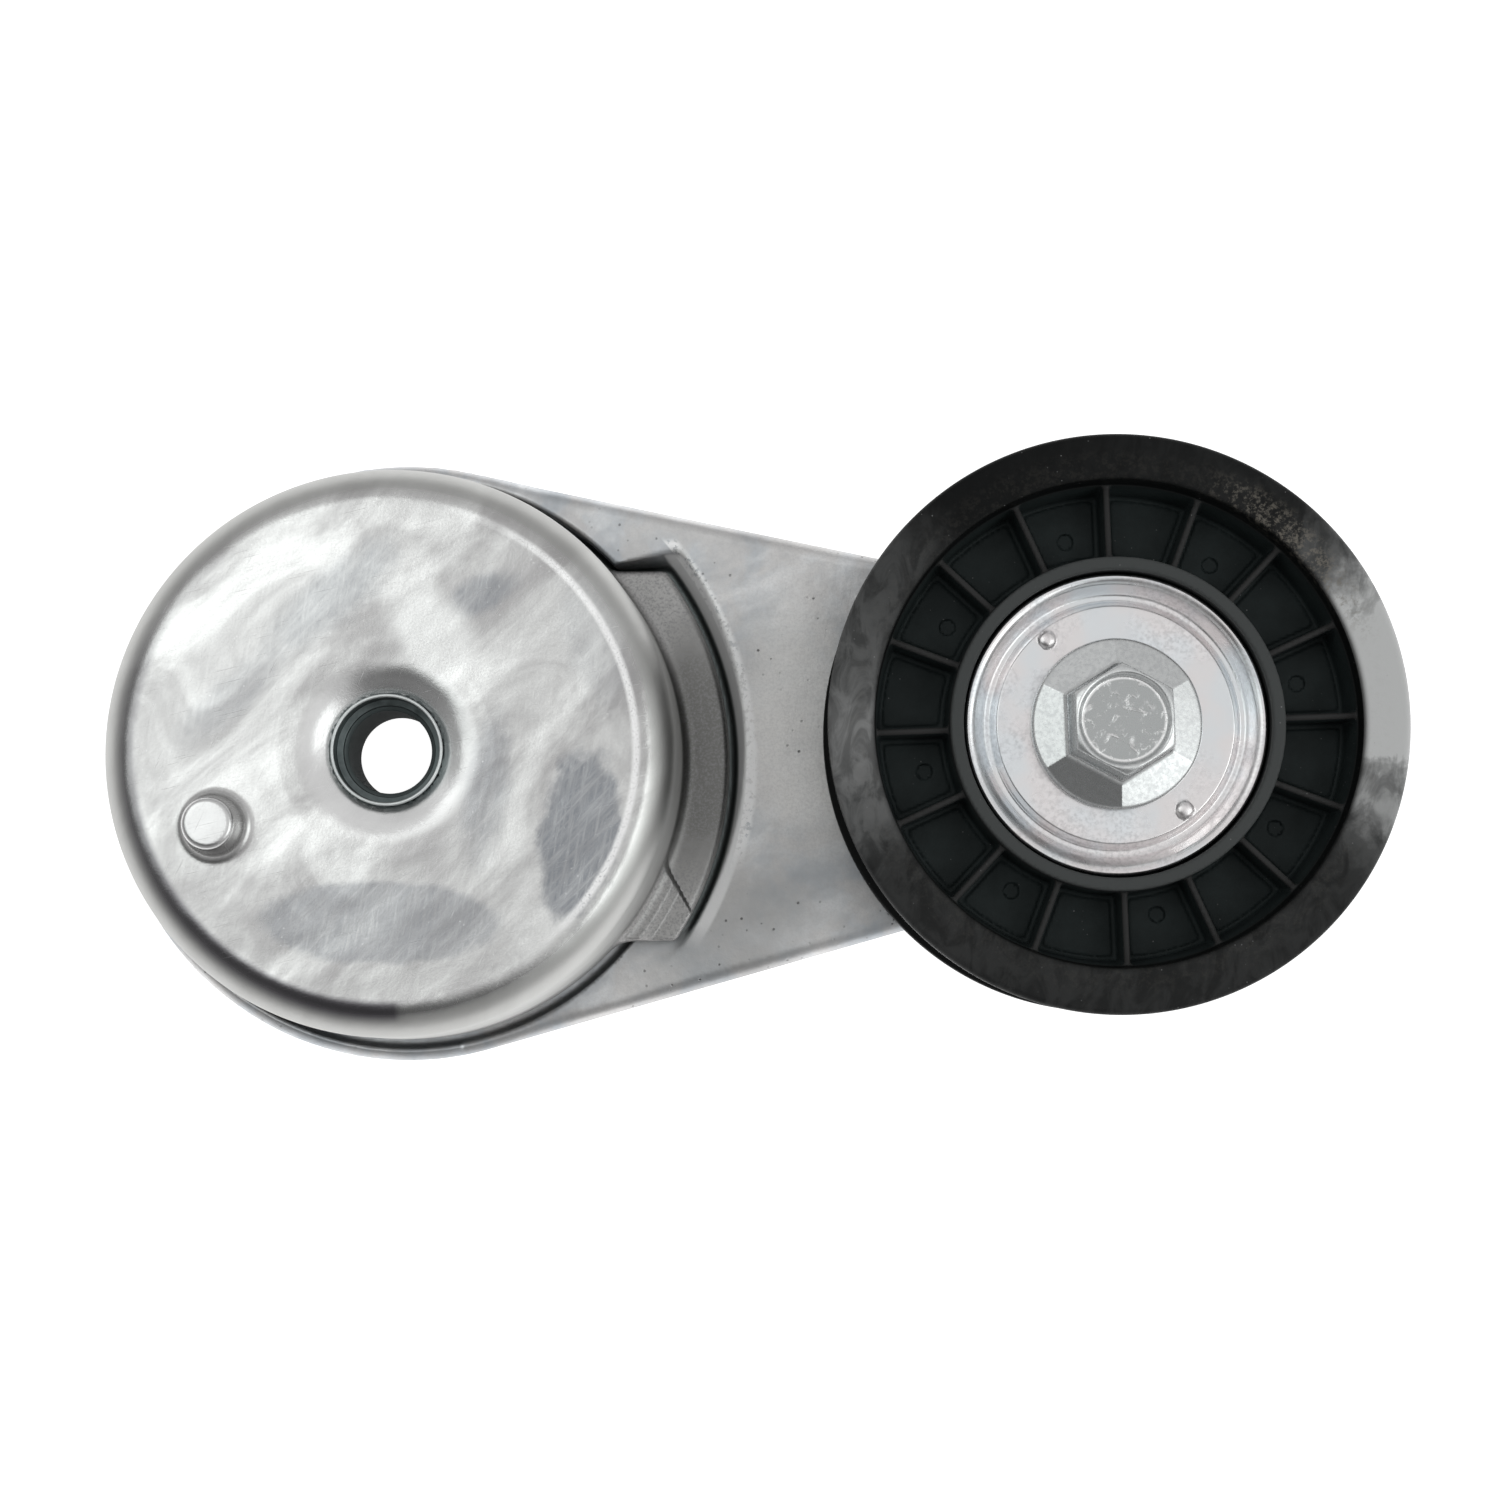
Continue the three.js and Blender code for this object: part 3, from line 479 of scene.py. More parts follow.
def pocket_height(q):
    """Height of the pocket's floor and leaning walls, which fade into the arm's top at the lower side."""
    lean = 0.85 + 0.5 * np.clip(-24 - q[:, 1], 0, 12)
    outer = (np.hypot(q[:, 0], q[:, 1]) - POCKET_R) / lean
    upper_lean = 0.25 + 0.055 * np.clip(q[:, 0] - 30, 0, 8)
    upper = half_plane(q, POCKET_FOOT, POCKET_FOOT_DIRECTION) / upper_lean
    return POCKET_FLOOR_Z + overlap(overlap(outer, upper, 1.2), 0.0, 0.5)


def tensioner_arm():
    chamber = revolve(CHAMBER_OUTLINE)
    boss = revolve(BOSS_OUTLINE)

    def field(p):
        q, z, r = base_axes(p), p[:, 2], np.hypot(p[:, 0], p[:, 1])
        at_boss = np.hypot(p[:, 0] - PULLEY_X, p[:, 1])
        outline = taper_flat(p, ARM_HUB_R, ARM_END_R)
        plate, hub = arm_outside(p, z, r, outline)
        arm = join(cut(plate, back_hollow(p, z, r, at_boss), 0.8), hub, 1.5)
        arm = cut(np.maximum(arm, outline), chamber(p), 0.9)
        hub_tube = slab(np.abs(r - HUB_TUBE_R) - HUB_TUBE_HALF_WALL, z, -42, HUB_TUBE_TOP_Z, 0.5)
        arm = cut(join(arm, hub_tube, 0.8), r - HUB_BORE_R, 0.6)
        arm = cut(arm, slab(r - PLATE_RECESS_R, z, -60, PLATE_RECESS_Z, 0.8), 0.8)
        above_pocket = (z - pocket_height(q)) * FIELD_SCALE
        arm = cut(arm, np.maximum(-above_pocket, POCKET_START_X - q[:, 0]), 0.3)
        arm = cut(join(arm, boss(p - [PULLEY_X, 0, 0]), 2.5), at_boss - BOLT_HOLE_R, 0.8)
        square = square_flat(p[:, 0] - DRIVE_X, p[:, 1], DRIVE_HALF, 0.4)
        return cut(arm, slab(square, z, -60, DRIVE_TOP_Z, 0.2), 0.8)

    return solid("tensioner_arm_casting", field, (-45, -45, -49.2), (118, 45, -18), 0.46, keep=0.4)


# ------------------------------------------------------------------ the pulley
PULLEY_OUTLINE = [
    (33.4, 2.0, 0.35), (39.7, 2.0, 0.9), (39.7, -0.7, 0.5), (38.0, -1.6, 0.4), (38.0, -20.9, 0.4),
    (39.7, -21.8, 0.5), (39.7, -24.5, 0.9), (33.4, -24.5, 0.4), (32.3, -12, 0.6), (23.3, -12, 0.6),
    (22.8, -19.0, 0.4), (19.6, -19.0, 0.3), (19.6, -17.6, 0.2), (20.15, -17.6, 0.1), (20.15, -5.1, 0.1),
    (21.1, -5.1, 0.2), (21.1, 0.5, 0.35), (22.9, 0.5, 0.3), (23.3, -8.3, 0.5), (32.4, -8.3, 0.5),
]
RIB_COUNT, RIB_HALF, RIB_DRAFT, RIB_EDGE_R = 16, 0.6, 0.02, 0.3
RIB_MIDDLE_R, RIB_HALF_LENGTH = 28, 5.2
FRONT_RIB_TOP_Z, REAR_RIB_TOP_Z = -1.6, -20.5
WEB_MIDDLE_Z = -10.0
PANEL_TOP_Z, PANEL_MIDDLE_R, PANEL_HALF_LENGTH, PANEL_FROM_RIB = -8.1, 27.9, 3.95, 1.25
MARK_R, MARK_PITCH_R, MARK_DEPTH = 1.1, 26.7, 0.3


def pulley_wheel():
    """Moulded wheel with ribs on both sides, raised panels between them and a round mark in every other."""
    wheel = revolve(PULLEY_OUTLINE)
    pitch = 2 * math.pi / RIB_COUNT

    def field(p):
        q = p - [PULLEY_X, 0, 0]
        r, z = np.hypot(q[:, 0], q[:, 1]), q[:, 2]
        turn = np.arctan2(q[:, 1], q[:, 0])
        from_rib = (turn + pitch / 2) % pitch - pitch / 2
        half = RIB_HALF - np.abs(RIB_DRAFT * (z - WEB_MIDDLE_Z))
        rib = np.maximum(np.abs(r * np.sin(from_rib)) - half, np.abs(r - RIB_MIDDLE_R) - RIB_HALF_LENGTH)
        front = np.maximum(rounded_meeting(rib, z - FRONT_RIB_TOP_Z, RIB_EDGE_R), WEB_MIDDLE_Z - z)
        rear = np.maximum(rounded_meeting(rib, REAR_RIB_TOP_Z - z, RIB_EDGE_R), z - WEB_MIDDLE_Z)
        aside = np.abs(r * np.sin(pitch / 2 - np.abs(from_rib)))
        half_width = r * math.sin(pitch / 2) - PANEL_FROM_RIB
        panel = overlap(aside - half_width, np.abs(r - PANEL_MIDDLE_R) - PANEL_HALF_LENGTH, 0.8)
        panel = slab(panel, z, WEB_MIDDLE_Z, PANEL_TOP_Z, 0.2)
        body = join(join(wheel(q), np.minimum(front, rear), 0.5), panel, 0.15)
        from_mark = (turn + pitch / 2) % (2 * pitch) - pitch
        mark = np.hypot(r * np.cos(from_mark) - MARK_PITCH_R, r * np.sin(from_mark)) - MARK_R
        return cut(body, np.maximum(mark, PANEL_TOP_Z - MARK_DEPTH - z), 0.15)

    return solid("pulley_wheel_moulding", field, (60, -40, -25), (140, 40, 2.5), 0.42, keep=0.45)


COVER_FACE_Z = -2.6
COVER_DIMPLE_PITCH_R, COVER_DIMPLE_R, COVER_DIMPLE_RISE = 15.0, 1.25, 0.55
COVER_DIMPLE_ANGLES = [math.radians(a) for a in (126.6, -53.4)]


def front_dust_cover():
    """Pressed steel cover with a rolled lip, a groove and two raised dimples."""
    z = COVER_FACE_Z
    face = [(r, z, 0) for r in np.arange(12.5, 16.0, 0.16)]
    outline = [
        (5.3, z, 0.1), *face, (16.4, z, 0.35), (17.2, z - 1.3, 0.5), (18.2, z - 1.3, 0.8),
        (19.6, z + 0.95, 1.2), (20.72, z + 1.15, 0.4), (20.72, z + 0.3, 0.25), (19.9, z + 0.2, 0.5),
        (18.7, z - 2.1, 1.2), (16.9, z - 2.1, 0.8), (15.8, z - 0.9, 0.6), (5.3, z - 0.9, 0.1),
    ]

    def lift(x, y):
        rise = np.zeros_like(x)
        for a in COVER_DIMPLE_ANGLES:
            centre_x, centre_y = COVER_DIMPLE_PITCH_R * math.cos(a), COVER_DIMPLE_PITCH_R * math.sin(a)
            off = np.hypot(x - centre_x, y - centre_y) / COVER_DIMPLE_R
            rise += COVER_DIMPLE_RISE * np.sqrt(np.clip(1 - off ** 2, 0, 1))
        return rise

    return turned("front_dust_cover_pressing", outline, PULLEY_X, 200, lift, COVER_DIMPLE_ANGLES)


BOLT_SEAT_Z, BOLT_TOP_Z, BOLT_HALF_FLATS, BOLT_CHAMFER_R = -2.5, 7.5, 6.7, 6.75
BOLT_FLANGE_R, BOLT_FLANGE_Z = 11.8, 0.9
BOLT_END_Z, BOLT_SHANK_R = -40.0, 4.95
THREAD_PITCH, THREAD_DEPTH, THREAD_START_Z = 1.5, 0.42, -19
BOLT_DISH_OUTLINE = [(-3, 9, 0), (7.3, 9, 0), (6.35, 7.55, 0.2), (5.75, 6.8, 0.25), (-3, 6.8, 0)]


def pulley_bolt():
    """Hexagon bolt with a dished head on a flange of six facets."""
    dish = revolve(BOLT_DISH_OUTLINE)
    sixth = math.pi / 3

    def field(p):
        q = p - [PULLEY_X, 0, 0]
        r, z = np.hypot(q[:, 0], q[:, 1]), q[:, 2]
        angle = np.arctan2(q[:, 1], q[:, 0])
        from_flats = r * np.cos((angle + sixth / 2) % sixth - sixth / 2) - BOLT_HALF_FLATS
        head = rounded_meeting(from_flats, z - BOLT_TOP_Z, 0.4)
        chamfer = (r - BOLT_CHAMFER_R) * 0.5 + (z - BOLT_TOP_Z) * 0.866
        head = cut(overlap(head, chamfer, 0.3), dish(q), 0.25)
        slope = from_flats * 0.36 + (z - BOLT_FLANGE_Z) * 0.933
        flange = rounded_meeting(overlap(slope, r - BOLT_FLANGE_R, 0.5), BOLT_SEAT_Z - z, 0.15)
        bolt = join(np.maximum(head, BOLT_SEAT_Z - z), flange, 0.9)
        turns = z / THREAD_PITCH + angle / (2 * math.pi)
        thread = THREAD_DEPTH * np.abs((turns % 1) * 2 - 1) * (z < THREAD_START_Z)
        shank = rounded_meeting(r - BOLT_SHANK_R + thread, BOLT_END_Z - z, 0.8) * 0.85
        return join(bolt, np.maximum(shank, z), 0.3)

    reach = BOLT_FLANGE_R + 0.7
    low, high = (PULLEY_X - reach, -reach, BOLT_END_Z - 0.5), (PULLEY_X + reach, reach, BOLT_TOP_Z + 0.5)
    return solid("pulley_bolt_steel", field, low, high, 0.19, keep=0.45, normal_reach=0.07)


def rear_dust_shield():
    return turned("rear_dust_shield_pressing", [
        (5.3, -18.6, 0.1), (18.9, -18.6, 0.4), (18.9, -17.7, 0.15), (18.2, -17.7, 0.15), (17.6, -18.0, 0.3),
        (11.6, -18.0, 0.3), (10.8, -17.6, 0.3), (5.3, -17.6, 0.1),
    ], x=PULLEY_X)


def bearing_spacer():
    return turned("bearing_spacer_steel", [
        (5.3, -17.3, 0.2), (8.45, -17.3, 0.3), (8.45, -5.05, 0.2), (11, -5.05, 0.2), (11, -3.7, 0.3),
        (5.3, -3.7, 0.2),
    ], x=PULLEY_X)


BALL_R, BALL_COUNT, BALL_PITCH_R, BALL_Z = 3.375, 8, 14.25, -11.3
GROOVE_R, RACE_LOW_Z, RACE_HIGH_Z = 3.5, -17.3, -5.3


def bearing_ring(name, back, land, outward):
    """A bearing ring from its back's radius to its land's, with the groove for the balls in the land.
    outward is 1 for the outer ring and -1 for the inner one."""
    start = math.acos(abs(land - BALL_PITCH_R) / GROOVE_R)
    groove = [
        (BALL_PITCH_R + outward * GROOVE_R * math.cos(a), BALL_Z + GROOVE_R * math.sin(a), 0)
        for a in np.linspace(start, -start, 13)
    ]
    upper, lower = (land, RACE_HIGH_Z, 0.3), (land, RACE_LOW_Z, 0.3)
    outline = [(back, RACE_LOW_Z, 0.6), (back, RACE_HIGH_Z, 0.6), upper, *groove, lower]
    return turned(name, outline, x=PULLEY_X)


def bearing_ball(i):
    angle = 2 * math.pi * (i + 0.5) / BALL_COUNT
    centre = np.array([PULLEY_X + BALL_PITCH_R * math.cos(angle), BALL_PITCH_R * math.sin(angle), BALL_Z])
    bpy.ops.mesh.primitive_uv_sphere_add(
        segments=40, ring_count=20, radius=BALL_R * MM, location=Vector(centre * MM))
    ball = bpy.context.object
    ball.name = f"ball_{i + 1}_steel"
    ball.data.transform(Matrix.Translation(ball.location))
    ball.location = (0, 0, 0)
    ball.data.shade_smooth()
    return ball


def bearing_cage():
    """Snap-in cage: a ring with a pocket round each ball."""
    pitch = 2 * math.pi / BALL_COUNT

    def field(p):
        q = p - [PULLEY_X, 0, BALL_Z]
        r, z = np.hypot(q[:, 0], q[:, 1]), q[:, 2]
        angle = np.arctan2(q[:, 1], q[:, 0]) % pitch - pitch / 2
        from_ball = np.sqrt((r * np.cos(angle) - BALL_PITCH_R) ** 2 + (r * np.sin(angle)) ** 2 + z ** 2)
        band = slab(np.abs(r - BALL_PITCH_R) - 1, z, -4.3, 4.3, 0.3)
        return cut(band, from_ball - BALL_R - 0.15, 0.2)

    return solid("bearing_cage_moulding", field, (84, -16, -16), (116, 16, -6), 0.35)


# ------------------------------------------------------------------ shader nodes
def grey(value, tint=(1.0, 1.0, 1.0)):
    return tuple(value * t for t in tint) + (1.0,)


class Nodes:
    """Short ways to add nodes to a tree. Values are numbers, colours, vectors or other nodes' sockets."""

    def __init__(self, tree):
        self.tree = tree

    def node(self, kind, inputs=None, **settings):
        node = self.tree.nodes.new(kind)
        for name, value in settings.items():
            setattr(node, name, value)
        for socket, value in (inputs or {}).items():
            self.put(node.inputs[socket], value)
        return node

    def put(self, socket, value):
        if isinstance(value, bpy.types.NodeSocket):
            self.tree.links.new(value, socket)
        else:
            socket.default_value = value

    def math(self, operation, a, b=0.0, clamp=False):
        return self.node("ShaderNodeMath", {0: a, 1: b}, operation=operation, use_clamp=clamp).outputs[0]

    def vector(self, operation, a, b=(0, 0, 0), output="Vector"):
        return self.node("ShaderNodeVectorMath", {0: a, 1: b}, operation=operation).outputs[output]

    def mix(self, factor, a, b, blend="MIX"):
        inputs = {0: factor, 6: a, 7: b}
        return self.node("ShaderNodeMix", inputs, data_type="RGBA", blend_type=blend).outputs[2]

    def weighted(self, a, share_a, b, share_b):
        return self.math("ADD", self.math("MULTIPLY", a, share_a), self.math("MULTIPLY", b, share_b))

    def between(self, value, low, high):
        """0 at low and 1 at high, smoothly."""
        inputs = {"Value": value, "From Min": low, "From Max": high}
        return self.node("ShaderNodeMapRange", inputs, interpolation_type="SMOOTHSTEP").outputs[0]

    def spread(self, value, low, high):
        """A 0 to 1 value stretched to the range low to high."""
        inputs = {"Value": value, "To Min": low, "To Max": high}
        return self.node("ShaderNodeMapRange", inputs).outputs[0]

    def all_of(self, first, *others):
        """Masks multiplied together."""
        for mask in others:
            first = self.math("MULTIPLY", first, mask)
        return first

    def band(self, value, outer_low, low, high, outer_high):
        """1 between low and high, and 0 beyond the outer values."""
        return self.all_of(self.between(value, outer_low, low), self.between(value, outer_high, high))

    def coats(self, base, *coats):
        """A colour covered in turn by others, each given with the masks that must all let it show."""
        for colour, *masks in coats:
            base = self.mix(self.all_of(*masks), base, colour)
        return base

    def ramp(self, value, stops):
        """A value read off a smooth curve through (place, level) stops, the first at 0 and the last at 1."""
        node = self.node("ShaderNodeValToRGB", {0: value})
        node.color_ramp.interpolation = "EASE"
        elements = node.color_ramp.elements
        for place, level in stops[1:-1]:
            elements.new(place).color = grey(level)
        elements[0].color, elements[-1].color = grey(stops[0][1]), grey(stops[-1][1])
        return node.outputs[0]


# ------------------------------------------------------------------ materials
class Finish(Nodes):
    """A procedural material on a Principled shader, patterned in the part's own frame in millimetres."""

    def __init__(self, name, colour, metallic, roughness, **sockets):
        self.material = bpy.data.materials.new(name)
        self.material.use_nodes = True
        super().__init__(self.material.node_tree)
        place = self.node("ShaderNodeTexCoord").outputs["Object"]
        self.place = self.vector("MULTIPLY", place, (1 / MM,) * 3)
        self.wire("Base Color", (*colour, 1))
        self.wire("Metallic", metallic)
        self.wire("Roughness", roughness)
        for socket, value in sockets.items():
            self.wire(socket.replace("_", " ").title().replace("Ior", "IOR"), value)

    def wire(self, socket, value):
        self.put(self.tree.nodes["Principled BSDF"].inputs[socket], value)

    def done(self, colour, rough, *relief):
        """The material with this colour and roughness, and relief from (height, millimetres) pairs."""
        self.wire("Base Color", colour)
        self.wire("Roughness", rough)
        normal = None
        for height, depth in relief:
            inputs = {"Height": height, "Strength": 1.0, "Distance": depth * MM}
            if normal is not None:
                inputs["Normal"] = normal
            normal = self.node("ShaderNodeBump", inputs).outputs[0]
        self.wire("Normal", normal)
        return self.material

    def turned_by(self, place, degrees):
        inputs = {"Vector": place, "Angle": -math.radians(degrees)}
        return self.node("ShaderNodeVectorRotate", inputs, rotation_type="Z_AXIS").outputs[0]

    def moved(self, shift=(0, 0, 0), turn=0.0, stretch=(1, 1, 1)):
        """Places measured along axes turned by some degrees, then scaled and shifted."""
        inputs = {"Vector": self.turned_by(self.place, turn), "Location": shift, "Scale": stretch}
        return self.node("ShaderNodeMapping", inputs).outputs[0]

    def radius(self, x):
        """Distance from the vertical at x, in millimetres."""
        flat = self.vector("MULTIPLY", self.vector("SUBTRACT", self.place, (x, 0, 0)), (1, 1, 0))
        return self.vector("LENGTH", flat, output="Value")

    def along(self, axis):
        """Position along X, Y or Z, in millimetres."""
        return self.node("ShaderNodeSeparateXYZ", {0: self.place}).outputs[axis]

    def azimuth(self, x):
        """Direction from the vertical at x: 0 at -X, 0.25 at -Y, 0.5 at +X and 0.75 at +Y."""
        angle = self.math("ARCTAN2", self.along("Y"), self.math("SUBTRACT", self.along("X"), x))
        return self.math("ADD", self.math("MULTIPLY", angle, 1 / math.tau), 0.5)

    def noise(self, size, detail=3.0, rough=0.55, place=None, warp=0.0):
        """Noise with blobs of about that size in millimetres, from 0 to 1."""
        inputs = {"Vector": place or self.place, "Scale": 1 / size, "Detail": detail, "Roughness": rough}
        return self.node("ShaderNodeTexNoise", {**inputs, "Distortion": warp}).outputs[0]

    def grain(self, turn, length, width, shift=(0, 0, 0), detail=4.0):
        """Noise drawn out along one direction."""
        return self.noise(1.0, detail, 0.6, self.moved(shift, turn, (1 / length, 1 / width, 1 / length)))

    def streaks(self, turn, width, length, share, shift):
        """Fine straight scratches: 1 on the lines and 0 between them."""
        line = self.grain(turn, length, width, shift, 2.0)
        return self.between(line, 1 - share, 1 - share * 0.6)

    def patch(self, centre, half, turn=0.0, soft=0.5, ragged=0.35):
        """An oval patch about a centre with an uneven edge: 1 inside and 0 outside."""
        off = self.turned_by(self.vector("SUBTRACT", self.place, (*centre, 0)), turn)
        oval = self.vector("MULTIPLY", off, (1 / half[0], 1 / half[1], 0))
        uneven = self.spread(self.noise(5, 4, 0.6), -ragged, ragged)
        reach = self.math("ADD", self.vector("LENGTH", oval, output="Value"), uneven)
        return self.between(reach, 1 + soft / 2, 1 - soft / 2)

    def pits(self, size, share):
        """Scattered round specks: 1 in them and 0 between them."""
        inputs = {"Vector": self.place, "Scale": 1 / size, "Randomness": 1.0}
        cell = self.node("ShaderNodeTexVoronoi", inputs).outputs["Distance"]
        scattered = self.between(self.noise(size * 5, 2), 0.45, 0.7)
        return self.all_of(self.between(cell, share, share * 0.4), scattered)


# Painted dark reflections, cool grey patches of the polished face: centre, half lengths, turn, softness,
# raggedness and strength.
FACE_PAINTED_REFLECTIONS = [
    ((-1.5, -23.5), (16.0, 5.6), -3, 0.2, 0.16, 0.58),
    ((26.0, -12.5), (5.2, 11.5), -10, 0.35, 0.45, 0.95),
    ((14.0, 21.2), (4.6, 2.4), 20, 0.8, 0.5, 0.75),
    ((-6.5, 21.5), (10.0, 3.4), 38, 0.9, 0.5, 0.5),
    ((13.5, -5.5), (3.0, 9.5), -10, 0.8, 0.5, 0.5),
    ((-21.0, 8.0), (8.5, 2.6), 40, 0.9, 0.5, 0.3),
    ((29.0, 14.0), (4.0, 9.0), 14, 0.9, 0.5, 0.3),
]
# Strength by azimuth of the painted highlight line on the face's edge, and of the painted dark reflection, a
# bar beside it.
PAINTED_HIGHLIGHT_LINE = [(0.0, 0), (0.34, 0), (0.4, 0.9), (0.62, 0.9), (0.68, 0.2), (0.72, 0), (1.0, 0)]
PAINTED_DARK_REFLECTION = [
    (0.0, 0.5), (0.055, 0.62), (0.125, 0.78), (0.25, 0.88), (0.256, 0), (0.8, 0), (0.889, 0.15),
    (0.944, 0.4), (1.0, 0.5),
]


def polished_casting():
    """Aluminium casting rubbed bright on its face, with fine scratches and painted reflections (cool patches,
    a pale patch, a bright edge line, a dark bar), painted light in the dimple, and dull below it, darkened
    there as painted shade.
    """
    f = Finish("cast_aluminium_bright", (0.75, 0.74, 0.73), 1.0, 0.25)
    pivot_r, azimuth, z = f.radius(0), f.azimuth(0), f.along("Z")
    cloud = f.noise(1.0, 4, 0.6, f.moved((5.3, 3, 0), 40, (1 / 24, 1 / 12, 1 / 16)), warp=0.9)
    wipe = f.math("MAXIMUM", f.grain(44, 9, 0.8, (0, 7, 0)), f.grain(78, 7, 0.6, (9, 0, 0)))
    sand = f.noise(0.35, 3, 0.7)
    scratch = f.math(
        "MAXIMUM", f.streaks(12, 0.08, 8, 0.34, (3, 5, 0)), f.streaks(63, 0.08, 6, 0.33, (11, 2, 0)))
    shade = f.weighted(cloud, 0.86, wipe, 0.12)
    base = f.mix(f.between(shade, 0.34, 0.66), grey(0.45, (1, 0.985, 0.985)), grey(0.8, (0.995, 1, 0.99)))
    # Painted reflections: each patch darkens the face to a cool grey, unevenly along the wipe marks.
    for *oval, strength in FACE_PAINTED_REFLECTIONS:
        wear_and_painted_reflection = f.spread(f.between(wipe, 0.3, 0.75), strength, strength * 0.6)
        base = f.coats(base, (grey(0.24, (0.92, 0.99, 1.1)), f.patch(*oval), wear_and_painted_reflection))
    edge = f.all_of(f.between(pivot_r, 34.5, 36.6), f.between(z, 1, -1))
    # Dull corner below the face: as cast and rougher, its colour darkened as painted shade to dim what it
    # reflects.
    side = f.mix(cloud, grey(0.42, (1.0, 1.0, 0.97)), grey(0.56, (1, 1, 0.98)))
    line = f.all_of(f.band(pivot_r, 33.3, 33.9, 34.3, 34.9), f.ramp(azimuth, PAINTED_HIGHLIGHT_LINE))
    painted_dark_bar = f.all_of(f.band(pivot_r, 33.8, 35.0, 36.0, 37.6), f.ramp(azimuth, PAINTED_DARK_REFLECTION))
    tab = f.coats(
        grey(0.46, (1, 0.985, 0.975)),
        (grey(0.22, (1, 0.99, 0.96)), f.patch((43.5, 0.0), (9.0, 17.0), 0, 0.9, 0.3)),
        (grey(0.3), f.between(sand, 0.4, 0.7)))
    base = f.coats(
        base,
        # painted highlight: a pale patch on the face up and to the right of the sleeve
        (grey(0.95, (0.99, 1, 0.99)), f.patch((7.2, 15.0), (4.5, 8.5), 28, 0.9), 0.6),
        (grey(0.4), f.between(sand, 0.35, 0.68), 0.16),
        # painted light: the dimple round the sleeve lightened
        (grey(1.0), f.between(pivot_r, 13.5, 10), 0.75),
        (grey(1.0), f.math("MAXIMUM", f.pits(0.9, 0.16), scratch), 0.35),
        # painted highlight: the bright line round the face's edge
        (grey(1.0), line, f.between(sand, 0.25, 0.5)),
        # painted shade: the dull corner darkened
        (side, edge, 0.9),
        # painted dark reflection: the dark bar beside the edge line
        (grey(0.15, (1.02, 0.96, 1.08)), painted_dark_bar),
        (grey(0.71), f.between(z, PIN_HEIGHT - 0.8, PIN_HEIGHT - 0.2)),
        (tab, f.between(z, -20.5, -23.5)))
    polish = f.math("ADD", f.spread(shade, 0.32, 0.18), f.math("MULTIPLY", scratch, 0.1))
    rough = f.math("MAXIMUM", polish, f.math("MULTIPLY", edge, 0.46))
    waves = f.noise(1.0, 2, 0.5, f.moved((2, 0, 0), 40, (1 / 15, 1 / 9, 1 / 12)))
    return f.done(
        base, rough, (waves, 0.3), (wipe, 0.004), (f.noise(0.7, 3, 0.6), 0.008), (sand, 0.008),
        (scratch, -0.005))


def sand_casting():
    """Aluminium casting left as cast: satin blue-grey, warm in places, with pits; painted highlight specks on
    the pocket lip, a painted pale sheen, a painted shadow by the lug, and painted light and shade on the
    pocket's wall and foot.
    """
    f = Finish("cast_aluminium_satin", (0.5, 0.52, 0.55), 1.0, 0.42)
    pivot_r, x, y, z = f.radius(0), f.along("X"), f.along("Y"), f.along("Z")
    cloud = f.noise(1.0, 4, 0.6, f.moved((1, 2, 0), 20, (1 / 20, 1 / 12, 1 / 12)), warp=0.4)
    sand = f.noise(0.4, 3, 0.7)
    pit = f.pits(1.7, 0.15)
    scratch = f.streaks(80, 0.08, 10, 0.33, (7, 1, 0))
    shade = f.weighted(cloud, 0.82, f.noise(1.6, 5, 0.7), 0.18)
    warm = f.between(f.noise(7, 4, 0.6, warp=0.5), 0.38, 0.62)

    in_pocket = f.all_of(f.band(y, -29, -24, 31, 33), f.between(z, -30.3, -29.8))
    wall = f.all_of(f.between(pivot_r, 47.6, 48.2), f.between(x, 24, 28), f.between(z, -26, -26.6), in_pocket)
    foot = f.all_of(f.between(z, -28.1, -28.9), f.between(pivot_r, 48.4, 47.9), f.between(x, 22, 26))
    lip = f.all_of(f.band(pivot_r, 49.0, 49.3, 50.3, 51.1), f.band(y, -18, -12, 30.5, 31.5), in_pocket)
    base = f.coats(
        f.mix(f.between(shade, 0.36, 0.66), grey(0.52, (0.94, 1.0, 1.06)), grey(0.86, (0.99, 1.0, 1.01))),
        (grey(0.66, (1.05, 1.0, 0.96)), warm, 0.5),
        # painted highlight: a broad pale sheen across the middle of the arm
        (grey(1.0, (1.0, 0.99, 0.97)), f.patch((58.0, 3.0), (9.0, 17.0), 6, 1.0), 0.8),
        # painted shadow: darker on the arm beside the lug's lower end
        (grey(0.4, (1.01, 1.0, 0.985)), f.patch((45.0, -26.0), (13.0, 8.0), 14, 1.0), 0.55),
        (grey(0.4, (1.0, 1.0, 1.02)), f.between(sand, 0.38, 0.66), 0.2),
        # painted light: the pocket's leaning wall lightened
        (grey(0.8), wall, f.between(pivot_r, 50.2, 49.6)),
        # painted shade: the dark gap at the foot of the pocket wall
        (grey(0.2, (0.9, 1.0, 1.0)), foot, in_pocket),
        # painted highlight: bright ragged specks along the pocket lip
        (grey(1.0), lip, f.between(f.noise(0.9, 4, 0.7), 0.4, 0.5), 0.9),
        (grey(0.1), pit, 0.85))
    f.wire("Metallic", f.spread(wall, 1.0, 0.4))
    relief = (f.noise(3.5, 4, 0.6), 0.09), (sand, 0.01), (scratch, -0.01), (pit, -0.06)
    return f.done(base, f.spread(shade, 0.48, 0.36), *relief)


